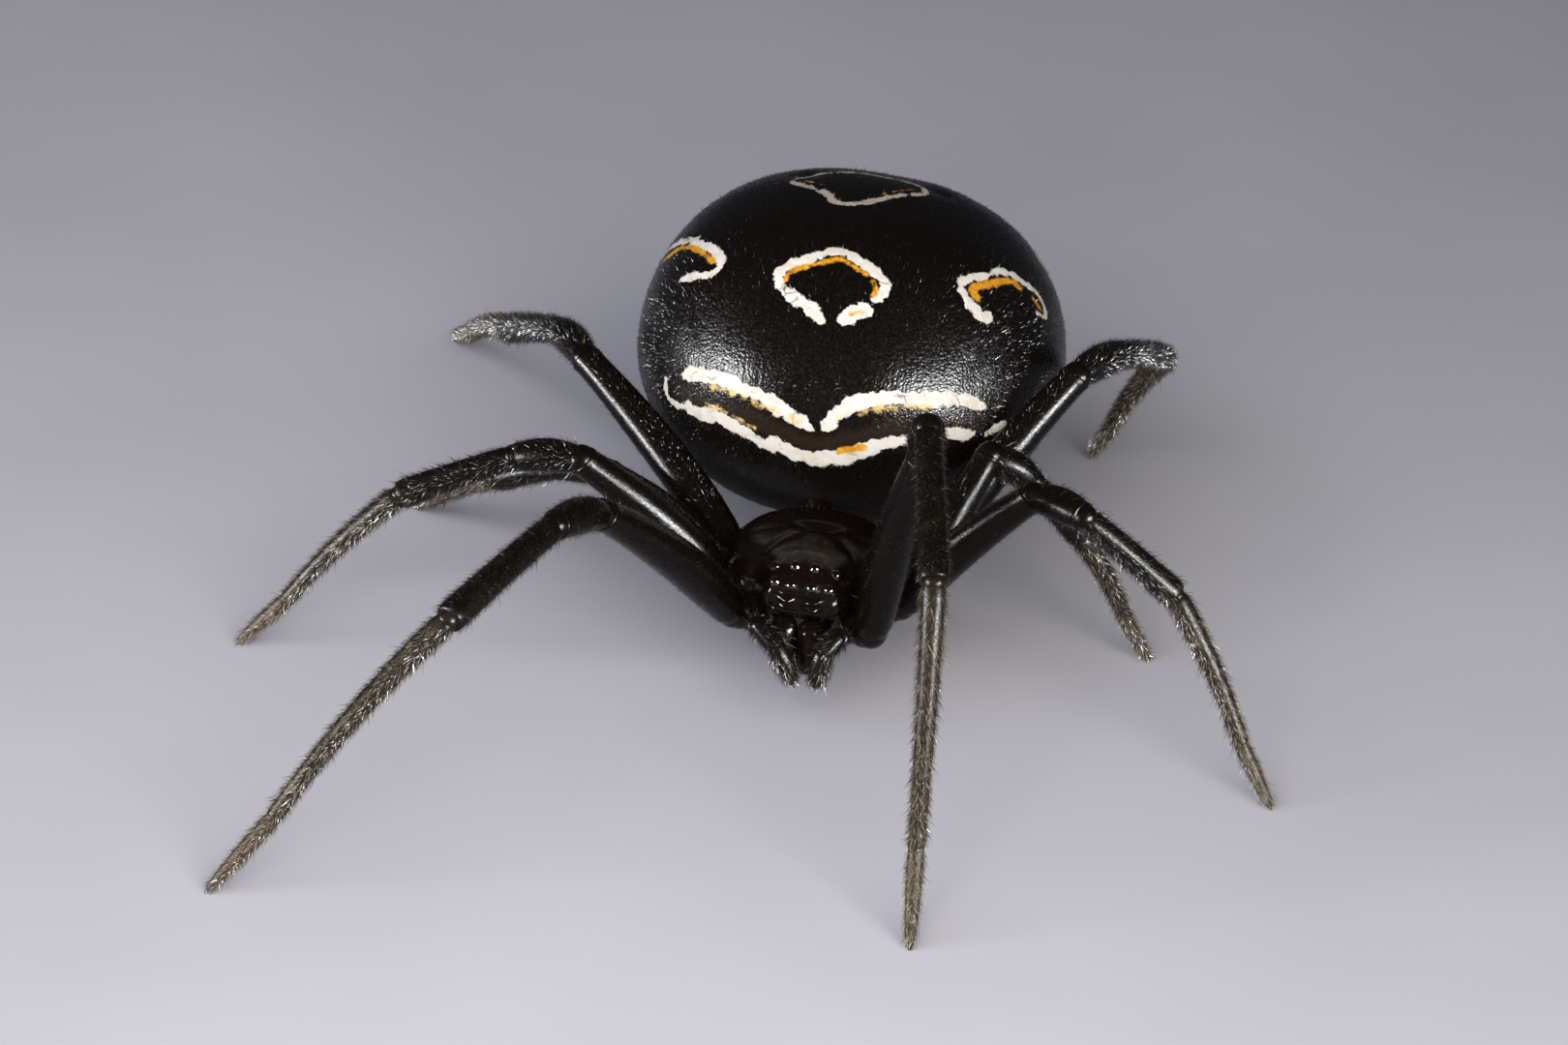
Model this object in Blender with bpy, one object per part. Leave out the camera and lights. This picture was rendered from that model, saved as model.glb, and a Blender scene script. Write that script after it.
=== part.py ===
"""A female black widow spider at life size, standing on the tips of its eight legs.

The head faces -Y, +Z is up, and +X is the spider's own left side. Lengths below are in
millimetres and are turned to metres where the vertices are made. Headings are measured from
straight ahead towards the leg's own side, and pitches from level, upwards.
"""
from math import asin, cos, pi, radians, sin

import bmesh
import bpy
from mathutils import Matrix, Vector
from mathutils.bvhtree import BVHTree

MM = 0.001
GAP = 0.3
EYE_GAP = 0.05
SHARP_ANGLE = 50.0

ABDOMEN_WIDTH = 8.9
ABDOMEN_LENGTH = 8.5
ABDOMEN_HEIGHT = 7.0
ABDOMEN_CENTRE = Vector((-0.33, 0.20, 4.68))
ABDOMEN_DOME = 0.82
ABDOMEN_KEEL = 0.98
ABDOMEN_REAR_FULLNESS = 0.85
ABDOMEN_TUCK = 0.055
TUCK_DIRECTION = Vector((0.0, -0.78, -0.62))
TUCK_SHARPNESS = 4
ABDOMEN_SIDES = 40
ABDOMEN_ROWS = 24
# A small turn in radians, over which the slope of the abdomen's surface is measured.
STEP = 0.02

CARAPACE_CENTRE = Vector((0.0, -5.55, 2.2))
CARAPACE_SIDES = 26
CARAPACE_FLANK_POWER = 0.85
CARAPACE_CROWN_POWER = 0.9
# One row for each station: forward of the centre, half width, top, widest level, underside.
CARAPACE_STATIONS = (
    (-1.90, 0.55, 0.76, 0.42, 0.10),
    (-1.72, 1.02, 0.98, 0.40, -0.22),
    (-1.35, 1.52, 1.17, 0.38, -0.52),
    (-0.85, 1.80, 1.24, 0.36, -0.66),
    (-0.35, 1.86, 1.28, 0.36, -0.70),
    (0.20, 1.70, 1.34, 0.38, -0.70),
    (0.65, 1.36, 1.40, 0.44, -0.66),
    (1.05, 1.06, 1.46, 0.52, -0.50),
    (1.40, 0.92, 1.48, 0.66, 0.02),
    (1.68, 0.84, 1.42, 0.76, 0.40),
    (1.86, 0.74, 1.28, 0.80, 0.50),
    (1.98, 0.56, 1.06, 0.80, 0.56),
)

COXA_RADIUS = 0.40
COXA_LEVEL = -0.05
# Radius along the coxa as a fraction of its greatest, swollen where the trochanter sits.
COXA_PROFILE = ((0.0, 0.86), (0.45, 1.0), (0.75, 0.95), (1.0, 0.83))
COXA_SIDES = 10
# Height of each pair's first free joint above the carapace's centre.
ROOT_LEVEL = {1: 0.0, 2: 0.25, 3: 0.22, 4: 0.02}
# For each pair of legs: where the coxa starts and where the leg leaves it, as the distance
# to the side and the distance forward of the carapace's centre.
COXA_INNER = {1: (0.55, 0.65), 2: (0.62, 0.22), 3: (0.62, -0.22), 4: (0.50, -0.65)}
COXA_OUTER = {1: (1.40, 1.25), 2: (1.85, 0.42), 3: (2.06, -0.36), 4: (1.84, -1.18)}

PEDICEL_WIDTH = 0.60
PEDICEL_INNER = Vector((0.0, -4.10, 2.52))
PEDICEL_TILT = 122.0
PEDICEL_PROFILE = ((0.0, 0.5), (0.6, 0.42), (1.0, 0.5))
PEDICEL_SIDES = 10

# The lip and the two maxillae: distance to the side, width and length of each.
MOUTHPARTS = ((0.0, 0.56, 0.5), (-0.42, 0.48, 0.72), (0.42, 0.48, 0.72))
MOUTH_ROOT = Vector((0.0, -0.86, -0.35))
MOUTH_DIRECTION = Vector((0.0, -0.35, -0.94))
MOUTH_PROFILE = ((0.0, 0.5), (0.7, 0.5), (1.0, 0.3))
MOUTH_SIDES = 8

SEGMENTS = ("femur", "patella", "tibia", "metatarsus", "tarsus")
# Lengths of the five segments from the femur out, for each pair of legs.
LEG_LENGTHS = {
    1: (5.30, 1.75, 3.45, 5.20, 2.00),
    2: (4.00, 1.40, 2.50, 3.40, 1.50),
    3: (3.10, 1.15, 1.70, 2.35, 1.20),
    4: (5.30, 1.65, 3.30, 4.20, 1.50),
}
LEG_STOUTNESS = {1: 1.00, 2: 0.95, 3: 0.90, 4: 0.96}
# Radius along each segment: the fraction of its length, then the radius.
SEGMENT_PROFILES = {
    "femur": ((0.0, 0.34), (0.07, 0.41), (0.3, 0.45), (0.6, 0.42), (0.88, 0.36), (1.0, 0.31)),
    "patella": ((0.0, 0.30), (0.2, 0.35), (0.55, 0.37), (0.85, 0.34), (1.0, 0.29)),
    "tibia": ((0.0, 0.28), (0.12, 0.305), (0.5, 0.31), (0.9, 0.32), (1.0, 0.29)),
    "metatarsus": ((0.0, 0.26), (0.1, 0.27), (0.35, 0.265), (0.6, 0.26), (0.8, 0.255), (1.0, 0.25)),
    "tarsus": ((0.0, 0.25), (0.5, 0.24), (0.85, 0.18), (1.0, 0.14)),
}
SEGMENT_SIDES = {"femur": 12, "patella": 12, "tibia": 12, "metatarsus": 10, "tarsus": 10}
SEGMENT_BOW = {"femur": 0.03, "patella": 0.04, "tibia": 0.0, "metatarsus": 0.03, "tarsus": 0.0}
# For each leg: heading and pitch of the femur, patella and tibia, then the heading of the
# metatarsus and tarsus, which run straight down to the floor.
POSES = {
    ("right", 1): ((36.5, 42.5), (23.0, 16.0), (24.5, -10.0), 64.0),
    ("right", 2): ((74.5, 42.0), (95.0, -10.0), (82.5, -26.0), 82.5),
    ("right", 3): ((120.5, 14.0), (112.5, -14.0), (113.5, -28.5), 132.5),
    ("right", 4): ((127.5, 26.0), (149.0, -7.0), (149.0, -27.0), 157.0),
    ("left", 1): ((29.0, 70.5), (7.0, 48.0), (13.5, -29.0), 11.5),
    ("left", 2): ((81.0, 51.5), (53.0, 7.5), (95.5, -38.5), 76.5),
    ("left", 3): ((140.5, 56.5), (107.0, -34.0), (111.0, -49.5), 112.0),
    ("left", 4): ((133.5, 45.0), (151.5, -3.5), (166.5, -27.0), 205.5),
}
SIDE_SIGN = {"right": -1.0, "left": 1.0}

CHELICERA_LENGTH = 1.00
CHELICERA_BASE = Vector((0.305, -7.42, 2.48))
CHELICERA_PITCH = -84.0
CHELICERA_SPREAD = -6.0
# The way the jaw's upper end faces, back along the slope of the face above it.
CHELICERA_SLOPE = Vector((0.0, -0.50, -0.87))
CHELICERA_SIDES = 12
CHELICERA_PROFILE = ((0.0, 0.22), (0.15, 0.265), (0.45, 0.265), (0.8, 0.23), (1.0, 0.17))
FANG_LENGTH = 0.36
FANG_SUNK = 0.12
# The way a fang points: towards the middle, towards the rear, and up.
FANG_DIRECTION = (0.35, 0.45, -0.82)
FANG_PROFILE = ((0.0, 0.12), (0.5, 0.09), (1.0, 0.03))
FANG_SIDES = 8

# The palp's joints from its root out: to the side, forward of the carapace's centre, and up.
PALP_JOINTS = (
    (0.58, 1.38, -0.28),
    (0.88, 1.76, 0.05),
    (0.81, 2.22, 0.34),
    (0.46, 2.44, 0.02),
    (0.22, 2.50, -0.72),
)
# How far each joint leans to the spider's left, because both palps are swung that way.
PALP_SWAY = (0.0, 0.0, 0.05, 0.15, 0.30)
PALP_RADII = (0.15, 0.19, 0.20, 0.19, 0.10)
PALP_SIDES = 10

# Eyes: distance to the side, forward and up from the carapace's centre, and diameter.
EYES = {
    "front_middle": (0.20, 1.92, 1.20, 0.21),
    "front_side": (0.53, 1.84, 1.16, 0.22),
    "rear_middle": (0.20, 1.60, 1.46, 0.22),
    "rear_side": (0.62, 1.50, 1.34, 0.22),
}
EYE_PROFILE = ((1.0, 0.0), (1.0, 0.3), (0.75, 0.62))
EYE_HEIGHT = 0.8
EYE_SIDES = 10

SPINNERET_TILT = 128.0
SPINNERET_BASE_WIDTH = 1.3
SPINNERET_BASE_HEIGHT = 0.28
# Each pair of spinnerets: to the side, towards the rear, width at the root and length.
SPINNERET_PAIRS = ((0.26, -0.22, 0.42, 0.75), (0.25, 0.26, 0.38, 0.62), (0.12, 0.02, 0.2, 0.4))
SPINNERET_BASE_PROFILE = ((0.0, 0.5), (0.7, 0.48), (1.0, 0.4))
SPINNERET_PROFILE = ((0.0, 0.5), (0.6, 0.42), (0.9, 0.28), (1.0, 0.12))
SPINNERET_BASE_SIDES = 14
SPINNERET_SIDES = 10
SPINNERET_SUNK = 0.1
# How far a spinneret leans towards the middle plane, and against its distance to the rear.
SPINNERET_LEAN = (0.18, 0.5)

MATERIALS = {
    "abdomen": ((0.012, 0.010, 0.009), 0.28),
    "carapace": ((0.022, 0.013, 0.010), 0.30),
    "leg": ((0.018, 0.014, 0.012), 0.38),
    "foot": ((0.050, 0.038, 0.026), 0.50),
    "eye": ((0.030, 0.022, 0.018), 0.08),
}


def clear_scene():
    """Remove whatever the scene holds."""
    for found in list(bpy.data.objects):
        bpy.data.objects.remove(found, do_unlink=True)


def principled(name):
    """The material of one kind of surface, made once and then reused."""
    found = bpy.data.materials.get(name)
    if found:
        return found
    colour, roughness = MATERIALS[name]
    made = bpy.data.materials.new(name)
    made.use_nodes = True
    shader = made.node_tree.nodes["Principled BSDF"]
    shader.inputs["Base Color"].default_value = (*colour, 1.0)
    shader.inputs["Roughness"].default_value = roughness
    shader.inputs["Metallic"].default_value = 0.0
    return made


def add_object(name, shape, material):
    """Turn a bmesh in millimetres into an object in metres with its faces pointing out."""
    bmesh.ops.recalc_face_normals(shape, faces=shape.faces)
    bmesh.ops.scale(shape, vec=(MM, MM, MM), verts=shape.verts)
    mesh = bpy.data.meshes.new(name)
    shape.to_mesh(mesh)
    shape.free()
    mesh.shade_smooth()
    mesh.set_sharp_from_angle(angle=radians(SHARP_ANGLE))
    made = bpy.data.objects.new(name, mesh)
    mesh.materials.append(principled(material))
    bpy.context.scene.collection.objects.link(made)
    return made


def loft(rings):
    """A closed bmesh skinned over rings of equal count, with a flat face at each end."""
    shape = bmesh.new()
    rows = [[shape.verts.new(point) for point in ring] for ring in rings]
    count = len(rows[0])
    for lower, upper in zip(rows, rows[1:]):
        for k in range(count):
            following = (k + 1) % count
            shape.faces.new((lower[k], lower[following], upper[following], upper[k]))
    shape.faces.new(list(reversed(rows[0])))
    shape.faces.new(rows[-1])
    return shape


def compass(side, heading, pitch):
    """The unit direction of a heading and a pitch on one side of the body."""
    turn = radians(heading)
    rise = radians(pitch)
    return Vector((side * sin(turn) * cos(rise), -cos(turn) * cos(rise), sin(rise)))


def across(axis):
    """Two unit vectors square to an axis: one level, and one that points up from it."""
    level = axis.cross(Vector((0.0, 0.0, 1.0)))
    if level.length < 1e-4:
        level = Vector((1.0, 0.0, 0.0))
    level.normalize()
    return level, level.cross(axis).normalized()


def tube(start, end, start_plane, end_plane, profile, sides, stout=1.0, bow=0.0):
    """A round segment between two planes, each a point and a normal.

    Every line of its side runs from the first plane to the second, so that a bend in a leg
    is cut square to the bend and its two segments meet face to face.
    """
    axis = (end - start).normalized()
    length = (end - start).length
    level, rise = across(axis)
    rings = []
    for fraction, radius in profile:
        ring = []
        for k in range(sides):
            angle = 2.0 * pi * k / sides
            spoke = (level * cos(angle) + rise * sin(angle)) * radius * stout
            lift = rise * (bow * length * 4.0 * fraction * (1.0 - fraction))
            edges = []
            for point, normal in (start_plane, end_plane):
                edges.append((point - start - spoke).dot(normal) / axis.dot(normal))
            along = edges[0] + (edges[1] - edges[0]) * fraction
            ring.append(start + axis * along + spoke + lift)
        rings.append(ring)
    return loft(rings)


def superpower(value, power):
    """A signed power, which makes a circle fuller below one and slimmer above it."""
    return abs(value) ** power if value >= 0.0 else -(abs(value) ** power)


def abdomen_point(tilt, turn):
    """A point of the abdomen's surface: tilt from the top, turn round it from +X."""
    low = tilt > pi / 2.0
    spread = sin(tilt) ** (ABDOMEN_KEEL if low else ABDOMEN_DOME)
    plan = ABDOMEN_REAR_FULLNESS if sin(turn) > 0.0 else 1.0
    direction = Vector((
        spread * superpower(cos(turn), plan),
        spread * superpower(sin(turn), plan),
        cos(tilt),
    ))
    facing = max(0.0, direction.normalized().dot(TUCK_DIRECTION.normalized()))
    direction *= 1.0 - ABDOMEN_TUCK * facing ** TUCK_SHARPNESS
    size = Vector((ABDOMEN_WIDTH, ABDOMEN_LENGTH, ABDOMEN_HEIGHT)) / 2.0
    return ABDOMEN_CENTRE + direction * size


def abdomen_surface(tilt_degrees, turn):
    """A point of the abdomen's surface and the direction straight out of it."""
    tilt = radians(tilt_degrees)
    down = abdomen_point(tilt + STEP, turn) - abdomen_point(tilt - STEP, turn)
    round_it = abdomen_point(tilt, turn + STEP) - abdomen_point(tilt, turn - STEP)
    return abdomen_point(tilt, turn), down.cross(round_it).normalized()


def make_abdomen():
    """The globe of the abdomen, drawn in below the front where the pedicel enters."""
    shape = bmesh.new()
    top = shape.verts.new(abdomen_point(0.0, 0.0))
    bottom = shape.verts.new(abdomen_point(pi, 0.0))
    rows = []
    for row in range(1, ABDOMEN_ROWS):
        tilt = pi * row / ABDOMEN_ROWS
        turns = [2.0 * pi * k / ABDOMEN_SIDES for k in range(ABDOMEN_SIDES)]
        rows.append([shape.verts.new(abdomen_point(tilt, turn)) for turn in turns])
    for k in range(ABDOMEN_SIDES):
        following = (k + 1) % ABDOMEN_SIDES
        shape.faces.new((top, rows[0][k], rows[0][following]))
        shape.faces.new((bottom, rows[-1][following], rows[-1][k]))
        for upper, lower in zip(rows, rows[1:]):
            shape.faces.new((upper[k], lower[k], lower[following], upper[following]))
    return add_object("abdomen", shape, "abdomen")


def carapace_shell():
    """The carapace and sternum as one body, skinned over its stations from rear to front."""
    rings = []
    for forward, half_width, top, widest, under in CARAPACE_STATIONS:
        ring = []
        for k in range(CARAPACE_SIDES):
            angle = 2.0 * pi * k / CARAPACE_SIDES
            height = (top - widest) if sin(angle) > 0.0 else (widest - under)
            across_x = half_width * superpower(cos(angle), CARAPACE_FLANK_POWER)
            up = widest + height * superpower(sin(angle), CARAPACE_CROWN_POWER)
            ring.append(CARAPACE_CENTRE + Vector((across_x, -forward, up)))
        rings.append(ring)
    return loft(rings)


def leg_root(side, pair):
    """The point where a leg's femur leaves its coxa, and the coxa's direction there."""
    out, forward = COXA_OUTER[pair]
    root = CARAPACE_CENTRE + Vector((side * out, -forward, ROOT_LEVEL[pair]))
    inner_out, inner_forward = COXA_INNER[pair]
    inner = CARAPACE_CENTRE + Vector((side * inner_out, -inner_forward, COXA_LEVEL))
    return inner, root


def coxa(side_name, pair):
    """The short coxa and trochanter that carry one leg, cut square to the first bend."""
    side = SIDE_SIGN[side_name]
    inner, root = leg_root(side, pair)
    outward = (root - inner).normalized()
    femur = compass(side, *POSES[(side_name, pair)][0])
    bend = (outward + femur).normalized()
    radius = COXA_RADIUS * LEG_STOUTNESS[pair]
    planes = ((inner, outward), (root - bend * GAP / 2.0, bend))
    return tube(inner, root, *planes, COXA_PROFILE, COXA_SIDES, radius)


def pedicel():
    """The stalk at the rear of the carapace, which ends just short of the abdomen."""
    entry, outward = abdomen_surface(PEDICEL_TILT, -pi / 2.0)
    direction = (entry - PEDICEL_INNER).normalized()
    planes = ((PEDICEL_INNER, direction), (entry + outward * GAP, outward))
    return tube(PEDICEL_INNER, entry, *planes, PEDICEL_PROFILE, PEDICEL_SIDES, PEDICEL_WIDTH)


def mouthparts():
    """The lip and the two maxillae under the head, behind the chelicerae."""
    pieces = []
    down = MOUTH_DIRECTION.normalized()
    for out, width, length in MOUTHPARTS:
        start = CARAPACE_CENTRE + MOUTH_ROOT + Vector((out, 0.0, 0.0))
        end = start + down * length
        planes = ((start, down), (end, down))
        pieces.append(tube(start, end, *planes, MOUTH_PROFILE, MOUTH_SIDES, width))
    return pieces


def fuse(name, shapes, material):
    """Join overlapping closed shapes into one body and keep its largest closed surface."""
    pieces = bpy.data.collections.new(name + "_pieces")
    bpy.context.scene.collection.children.link(pieces)
    body = add_object(name, shapes[0], material)
    for shape in shapes[1:]:
        piece = add_object(name + "_piece", shape, material)
        bpy.context.scene.collection.objects.unlink(piece)
        pieces.objects.link(piece)
    union = body.modifiers.new("union", "BOOLEAN")
    union.operation = "UNION"
    union.operand_type = "COLLECTION"
    union.collection = pieces
    union.solver = "EXACT"
    union.use_self = True
    graph = bpy.context.evaluated_depsgraph_get()
    joined = bpy.data.meshes.new_from_object(body.evaluated_get(graph))
    body.modifiers.clear()
    body.data = joined
    for piece in list(pieces.objects):
        bpy.data.objects.remove(piece, do_unlink=True)
    bpy.data.collections.remove(pieces)
    keep_largest(joined)
    return body


def keep_largest(mesh):
    """Drop every closed surface of a mesh but the one with the most faces."""
    shape = bmesh.new()
    shape.from_mesh(mesh)
    unseen = set(shape.faces)
    groups = []
    while unseen:
        stack = [unseen.pop()]
        group = []
        while stack:
            face = stack.pop()
            group.append(face)
            for edge in face.edges:
                for other in edge.link_faces:
                    if other in unseen:
                        unseen.remove(other)
                        stack.append(other)
        groups.append(group)
    largest = max(groups, key=len)
    scraps = [face for group in groups if group is not largest for face in group]
    bmesh.ops.delete(shape, geom=scraps, context="FACES")
    shape.to_mesh(mesh)
    shape.free()


def make_cephalothorax():
    """The carapace with its sternum, coxae, mouthparts and pedicel as one body."""
    shapes = [carapace_shell()]
    for side_name in SIDE_SIGN:
        for pair in COXA_OUTER:
            shapes.append(coxa(side_name, pair))
    shapes.append(pedicel())
    shapes.extend(mouthparts())
    return fuse("cephalothorax", shapes, "carapace")


def leg_joints(side_name, pair):
    """The joints of one leg from the root of the femur to the foot on the floor."""
    side = SIDE_SIGN[side_name]
    lengths = LEG_LENGTHS[pair]
    *upper, shin_heading = POSES[(side_name, pair)]
    joints = [leg_root(side, pair)[1]]
    for length, (heading, pitch) in zip(lengths, upper):
        joints.append(joints[-1] + compass(side, heading, pitch) * length)
    shin_pitch = -asin(joints[-1].z / sum(lengths[3:]))
    shin = compass(side, shin_heading, shin_pitch * 180.0 / pi)
    for length in lengths[3:]:
        joints.append(joints[-1] + shin * length)
    return joints


def make_leg(side_name, pair):
    """The five segments of one leg, each cut off just short of the next one's face."""
    joints = leg_joints(side_name, pair)
    inner, root = leg_root(SIDE_SIGN[side_name], pair)
    directions = [(root - inner).normalized()]
    for start, end in zip(joints, joints[1:]):
        directions.append((end - start).normalized())
    bends = [(a + b).normalized() for a, b in zip(directions, directions[1:])]
    for index, segment in enumerate(SEGMENTS):
        start, end = joints[index], joints[index + 1]
        start_plane = (start + bends[index] * GAP / 2.0, bends[index])
        if segment == "tarsus":
            end_plane = (end, Vector((0.0, 0.0, -1.0)))
        else:
            end_plane = (end - bends[index + 1] * GAP / 2.0, bends[index + 1])
        shape = tube(
            start,
            end,
            start_plane,
            end_plane,
            SEGMENT_PROFILES[segment],
            SEGMENT_SIDES[segment],
            LEG_STOUTNESS[pair] if index < 3 else 1.0,
            SEGMENT_BOW[segment],
        )
        finish = "foot" if segment in ("metatarsus", "tarsus") else "leg"
        add_object(f"leg_{pair}_{side_name}_{segment}", shape, finish)


def make_chelicera(side_name):
    """One jaw under the front of the head, with its fang folded in across the tip."""
    side = SIDE_SIGN[side_name]
    base = Vector((side * CHELICERA_BASE.x, CHELICERA_BASE.y, CHELICERA_BASE.z))
    direction = compass(side, CHELICERA_SPREAD, CHELICERA_PITCH)
    tip = base + direction * CHELICERA_LENGTH
    planes = ((base, CHELICERA_SLOPE.normalized()), (tip, direction))
    shape = tube(base, tip, *planes, CHELICERA_PROFILE, CHELICERA_SIDES)
    fang_root = base + direction * (CHELICERA_LENGTH - FANG_SUNK)
    inwards, back, down = FANG_DIRECTION
    fang_way = Vector((-side * inwards, back, down)).normalized()
    fang_tip = fang_root + fang_way * FANG_LENGTH
    planes = ((fang_root, fang_way), (fang_tip, fang_way))
    fang = tube(fang_root, fang_tip, *planes, FANG_PROFILE, FANG_SIDES)
    fuse(f"chelicera_{side_name}", [shape, fang], "carapace")


def make_palp(side_name):
    """One palp as a single bent body, skinned round its joints."""
    side = SIDE_SIGN[side_name]
    joints = []
    for (out, forward, up), sway in zip(PALP_JOINTS, PALP_SWAY):
        joints.append(CARAPACE_CENTRE + Vector((side * out + sway, -forward, up)))
    rings = []
    for index, (joint, radius) in enumerate(zip(joints, PALP_RADII)):
        before = joints[max(index - 1, 0)]
        after = joints[min(index + 1, len(joints) - 1)]
        level, rise = across((after - before).normalized())
        ring = []
        for k in range(PALP_SIDES):
            angle = 2.0 * pi * k / PALP_SIDES
            ring.append(joint + (level * cos(angle) + rise * sin(angle)) * radius)
        rings.append(ring)
    add_object(f"palp_{side_name}", loft(rings), "leg")


def dome(radius, height, profile, sides):
    """A low dome with a flat back, standing on the XY plane."""
    rings = []
    for spread, rise in profile:
        turns = [2.0 * pi * k / sides for k in range(sides)]
        rings.append([
            Vector((radius * spread * cos(turn), radius * spread * sin(turn), height * rise))
            for turn in turns
        ])
    shape = loft(rings)
    top_face = max(shape.faces, key=lambda face: face.calc_center_median().z)
    bmesh.ops.poke(shape, faces=[top_face], offset=height * (1.0 - profile[-1][1]))
    return shape


def make_eyes(head):
    """Eight small domed eyes in two rows across the front of the head."""
    surface = BVHTree.FromObject(head, bpy.context.evaluated_depsgraph_get())
    for name, (out, forward, up, width) in EYES.items():
        for side_name, side in SIDE_SIGN.items():
            aim = CARAPACE_CENTRE + Vector((side * out, -forward, up))
            place, normal, *_ = surface.find_nearest(aim * MM)
            shape = dome(width / 2.0, width / 2.0 * EYE_HEIGHT, EYE_PROFILE, EYE_SIDES)
            turn = normal.to_track_quat("Z", "Y").to_matrix().to_4x4()
            move = Matrix.Translation(place / MM + normal * EYE_GAP)
            bmesh.ops.transform(shape, matrix=move @ turn, verts=shape.verts)
            add_object(f"eye_{name}_{side_name}", shape, "eye")


def make_spinnerets():
    """The group of spinnerets below the rear of the abdomen, on one short base."""
    place, normal = abdomen_surface(SPINNERET_TILT, pi / 2.0)
    rearward = normal.cross(Vector((1.0, 0.0, 0.0))).normalized()
    base = place + normal * GAP
    base_end = base + normal * SPINNERET_BASE_HEIGHT
    planes = ((base, normal), (base_end, normal))
    sides = SPINNERET_BASE_SIDES
    shapes = [tube(base, base_end, *planes, SPINNERET_BASE_PROFILE, sides, SPINNERET_BASE_WIDTH)]
    inward, forward = SPINNERET_LEAN
    for out, back, width, length in SPINNERET_PAIRS:
        for side in SIDE_SIGN.values():
            sideways = Vector((side, 0.0, 0.0))
            root = base + sideways * out + rearward * back + normal * SPINNERET_SUNK
            way = (normal - sideways * inward - rearward * back * forward).normalized()
            tip = root + way * length
            planes = ((root, way), (tip, way))
            shapes.append(tube(root, tip, *planes, SPINNERET_PROFILE, SPINNERET_SIDES, width))
    fuse("spinnerets", shapes, "carapace")


def stand_on_origin():
    """Shift everything so that the origin is under the middle of the whole model."""
    corners = [vertex.co for made in bpy.data.objects for vertex in made.data.vertices]
    middle_x = (min(c.x for c in corners) + max(c.x for c in corners)) / 2.0
    middle_y = (min(c.y for c in corners) + max(c.y for c in corners)) / 2.0
    for made in bpy.data.objects:
        made.data.transform(Matrix.Translation((-middle_x, -middle_y, 0.0)))


def build():
    """Make every part of the spider and set it over the origin."""
    clear_scene()
    make_abdomen()
    head = make_cephalothorax()
    make_eyes(head)
    make_spinnerets()
    for side_name in SIDE_SIGN:
        make_chelicera(side_name)
        make_palp(side_name)
        for pair in LEG_LENGTHS:
            make_leg(side_name, pair)
    stand_on_origin()


build()
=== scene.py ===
"""The looks of a grown female widow spider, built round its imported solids.

Sizes are in millimetres and are turned to metres where a mesh is made. The head faces -Y,
+Z is up and +X is the spider's own left. A heading is measured from straight ahead towards
the leg's own side, and a pitch from level, upwards.
"""

from functools import partial
from math import asin, cos, degrees, pi, radians, sin

import bmesh
import bpy
import numpy as np
from mathutils import Matrix, Vector, noise
from mathutils.bvhtree import BVHTree


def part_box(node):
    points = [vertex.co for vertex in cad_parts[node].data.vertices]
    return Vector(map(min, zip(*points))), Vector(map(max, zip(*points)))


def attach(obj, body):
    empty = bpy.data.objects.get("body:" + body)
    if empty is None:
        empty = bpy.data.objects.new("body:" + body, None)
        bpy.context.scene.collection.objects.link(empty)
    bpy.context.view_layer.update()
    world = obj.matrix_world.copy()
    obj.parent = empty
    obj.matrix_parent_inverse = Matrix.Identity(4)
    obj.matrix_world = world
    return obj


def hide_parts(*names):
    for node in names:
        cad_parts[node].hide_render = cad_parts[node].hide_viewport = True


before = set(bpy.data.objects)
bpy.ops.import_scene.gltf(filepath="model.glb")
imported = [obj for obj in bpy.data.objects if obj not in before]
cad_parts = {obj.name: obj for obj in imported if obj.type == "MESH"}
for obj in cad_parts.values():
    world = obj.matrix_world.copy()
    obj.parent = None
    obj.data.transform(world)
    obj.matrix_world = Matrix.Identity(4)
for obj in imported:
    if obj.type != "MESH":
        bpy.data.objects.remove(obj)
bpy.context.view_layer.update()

MM = 0.001
SEED = 11
UP = (0.0, 0.0, 1.0)
# The width of the patch that one hair takes on the unwrap of its skin.
PATCH = 0.003

# The abdomen, as in the solids.
ABDOMEN_WIDTH = 8.9
ABDOMEN_LENGTH = 8.5
ABDOMEN_HEIGHT = 7.0
ABDOMEN_CENTRE = np.array((-0.33, 0.20, 4.68))
ABDOMEN_DOME = 0.82
ABDOMEN_KEEL = 0.98
ABDOMEN_REAR_FULLNESS = 0.85
ABDOMEN_TUCK = 0.055
TUCK_DIRECTION = np.array((0.0, -0.78, -0.62))
TUCK_SHARPNESS = 4
ABDOMEN_SPLITS = 7
# Its dents. Each has a depth, then its place and how wide it fades, in degrees from the top,
# towards the left and towards the rear. One that is off the middle stands on both sides.
ABDOMEN_DENTS = (
    (0.10, (0.0, 8.0), (-76.0, 16.0)),
    (0.05, (0.0, 60.0), (-44.0, 13.0)),
    (-0.05, (0.0, 60.0), (-70.0, 15.0)),
    (0.05, (15.0, 3.5), (-14.0, 3.5)),
    (0.05, (15.0, 3.5), (16.0, 3.5)),
    (0.03, (46.0, 3.0), (-40.0, 10.0)),
)

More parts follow.
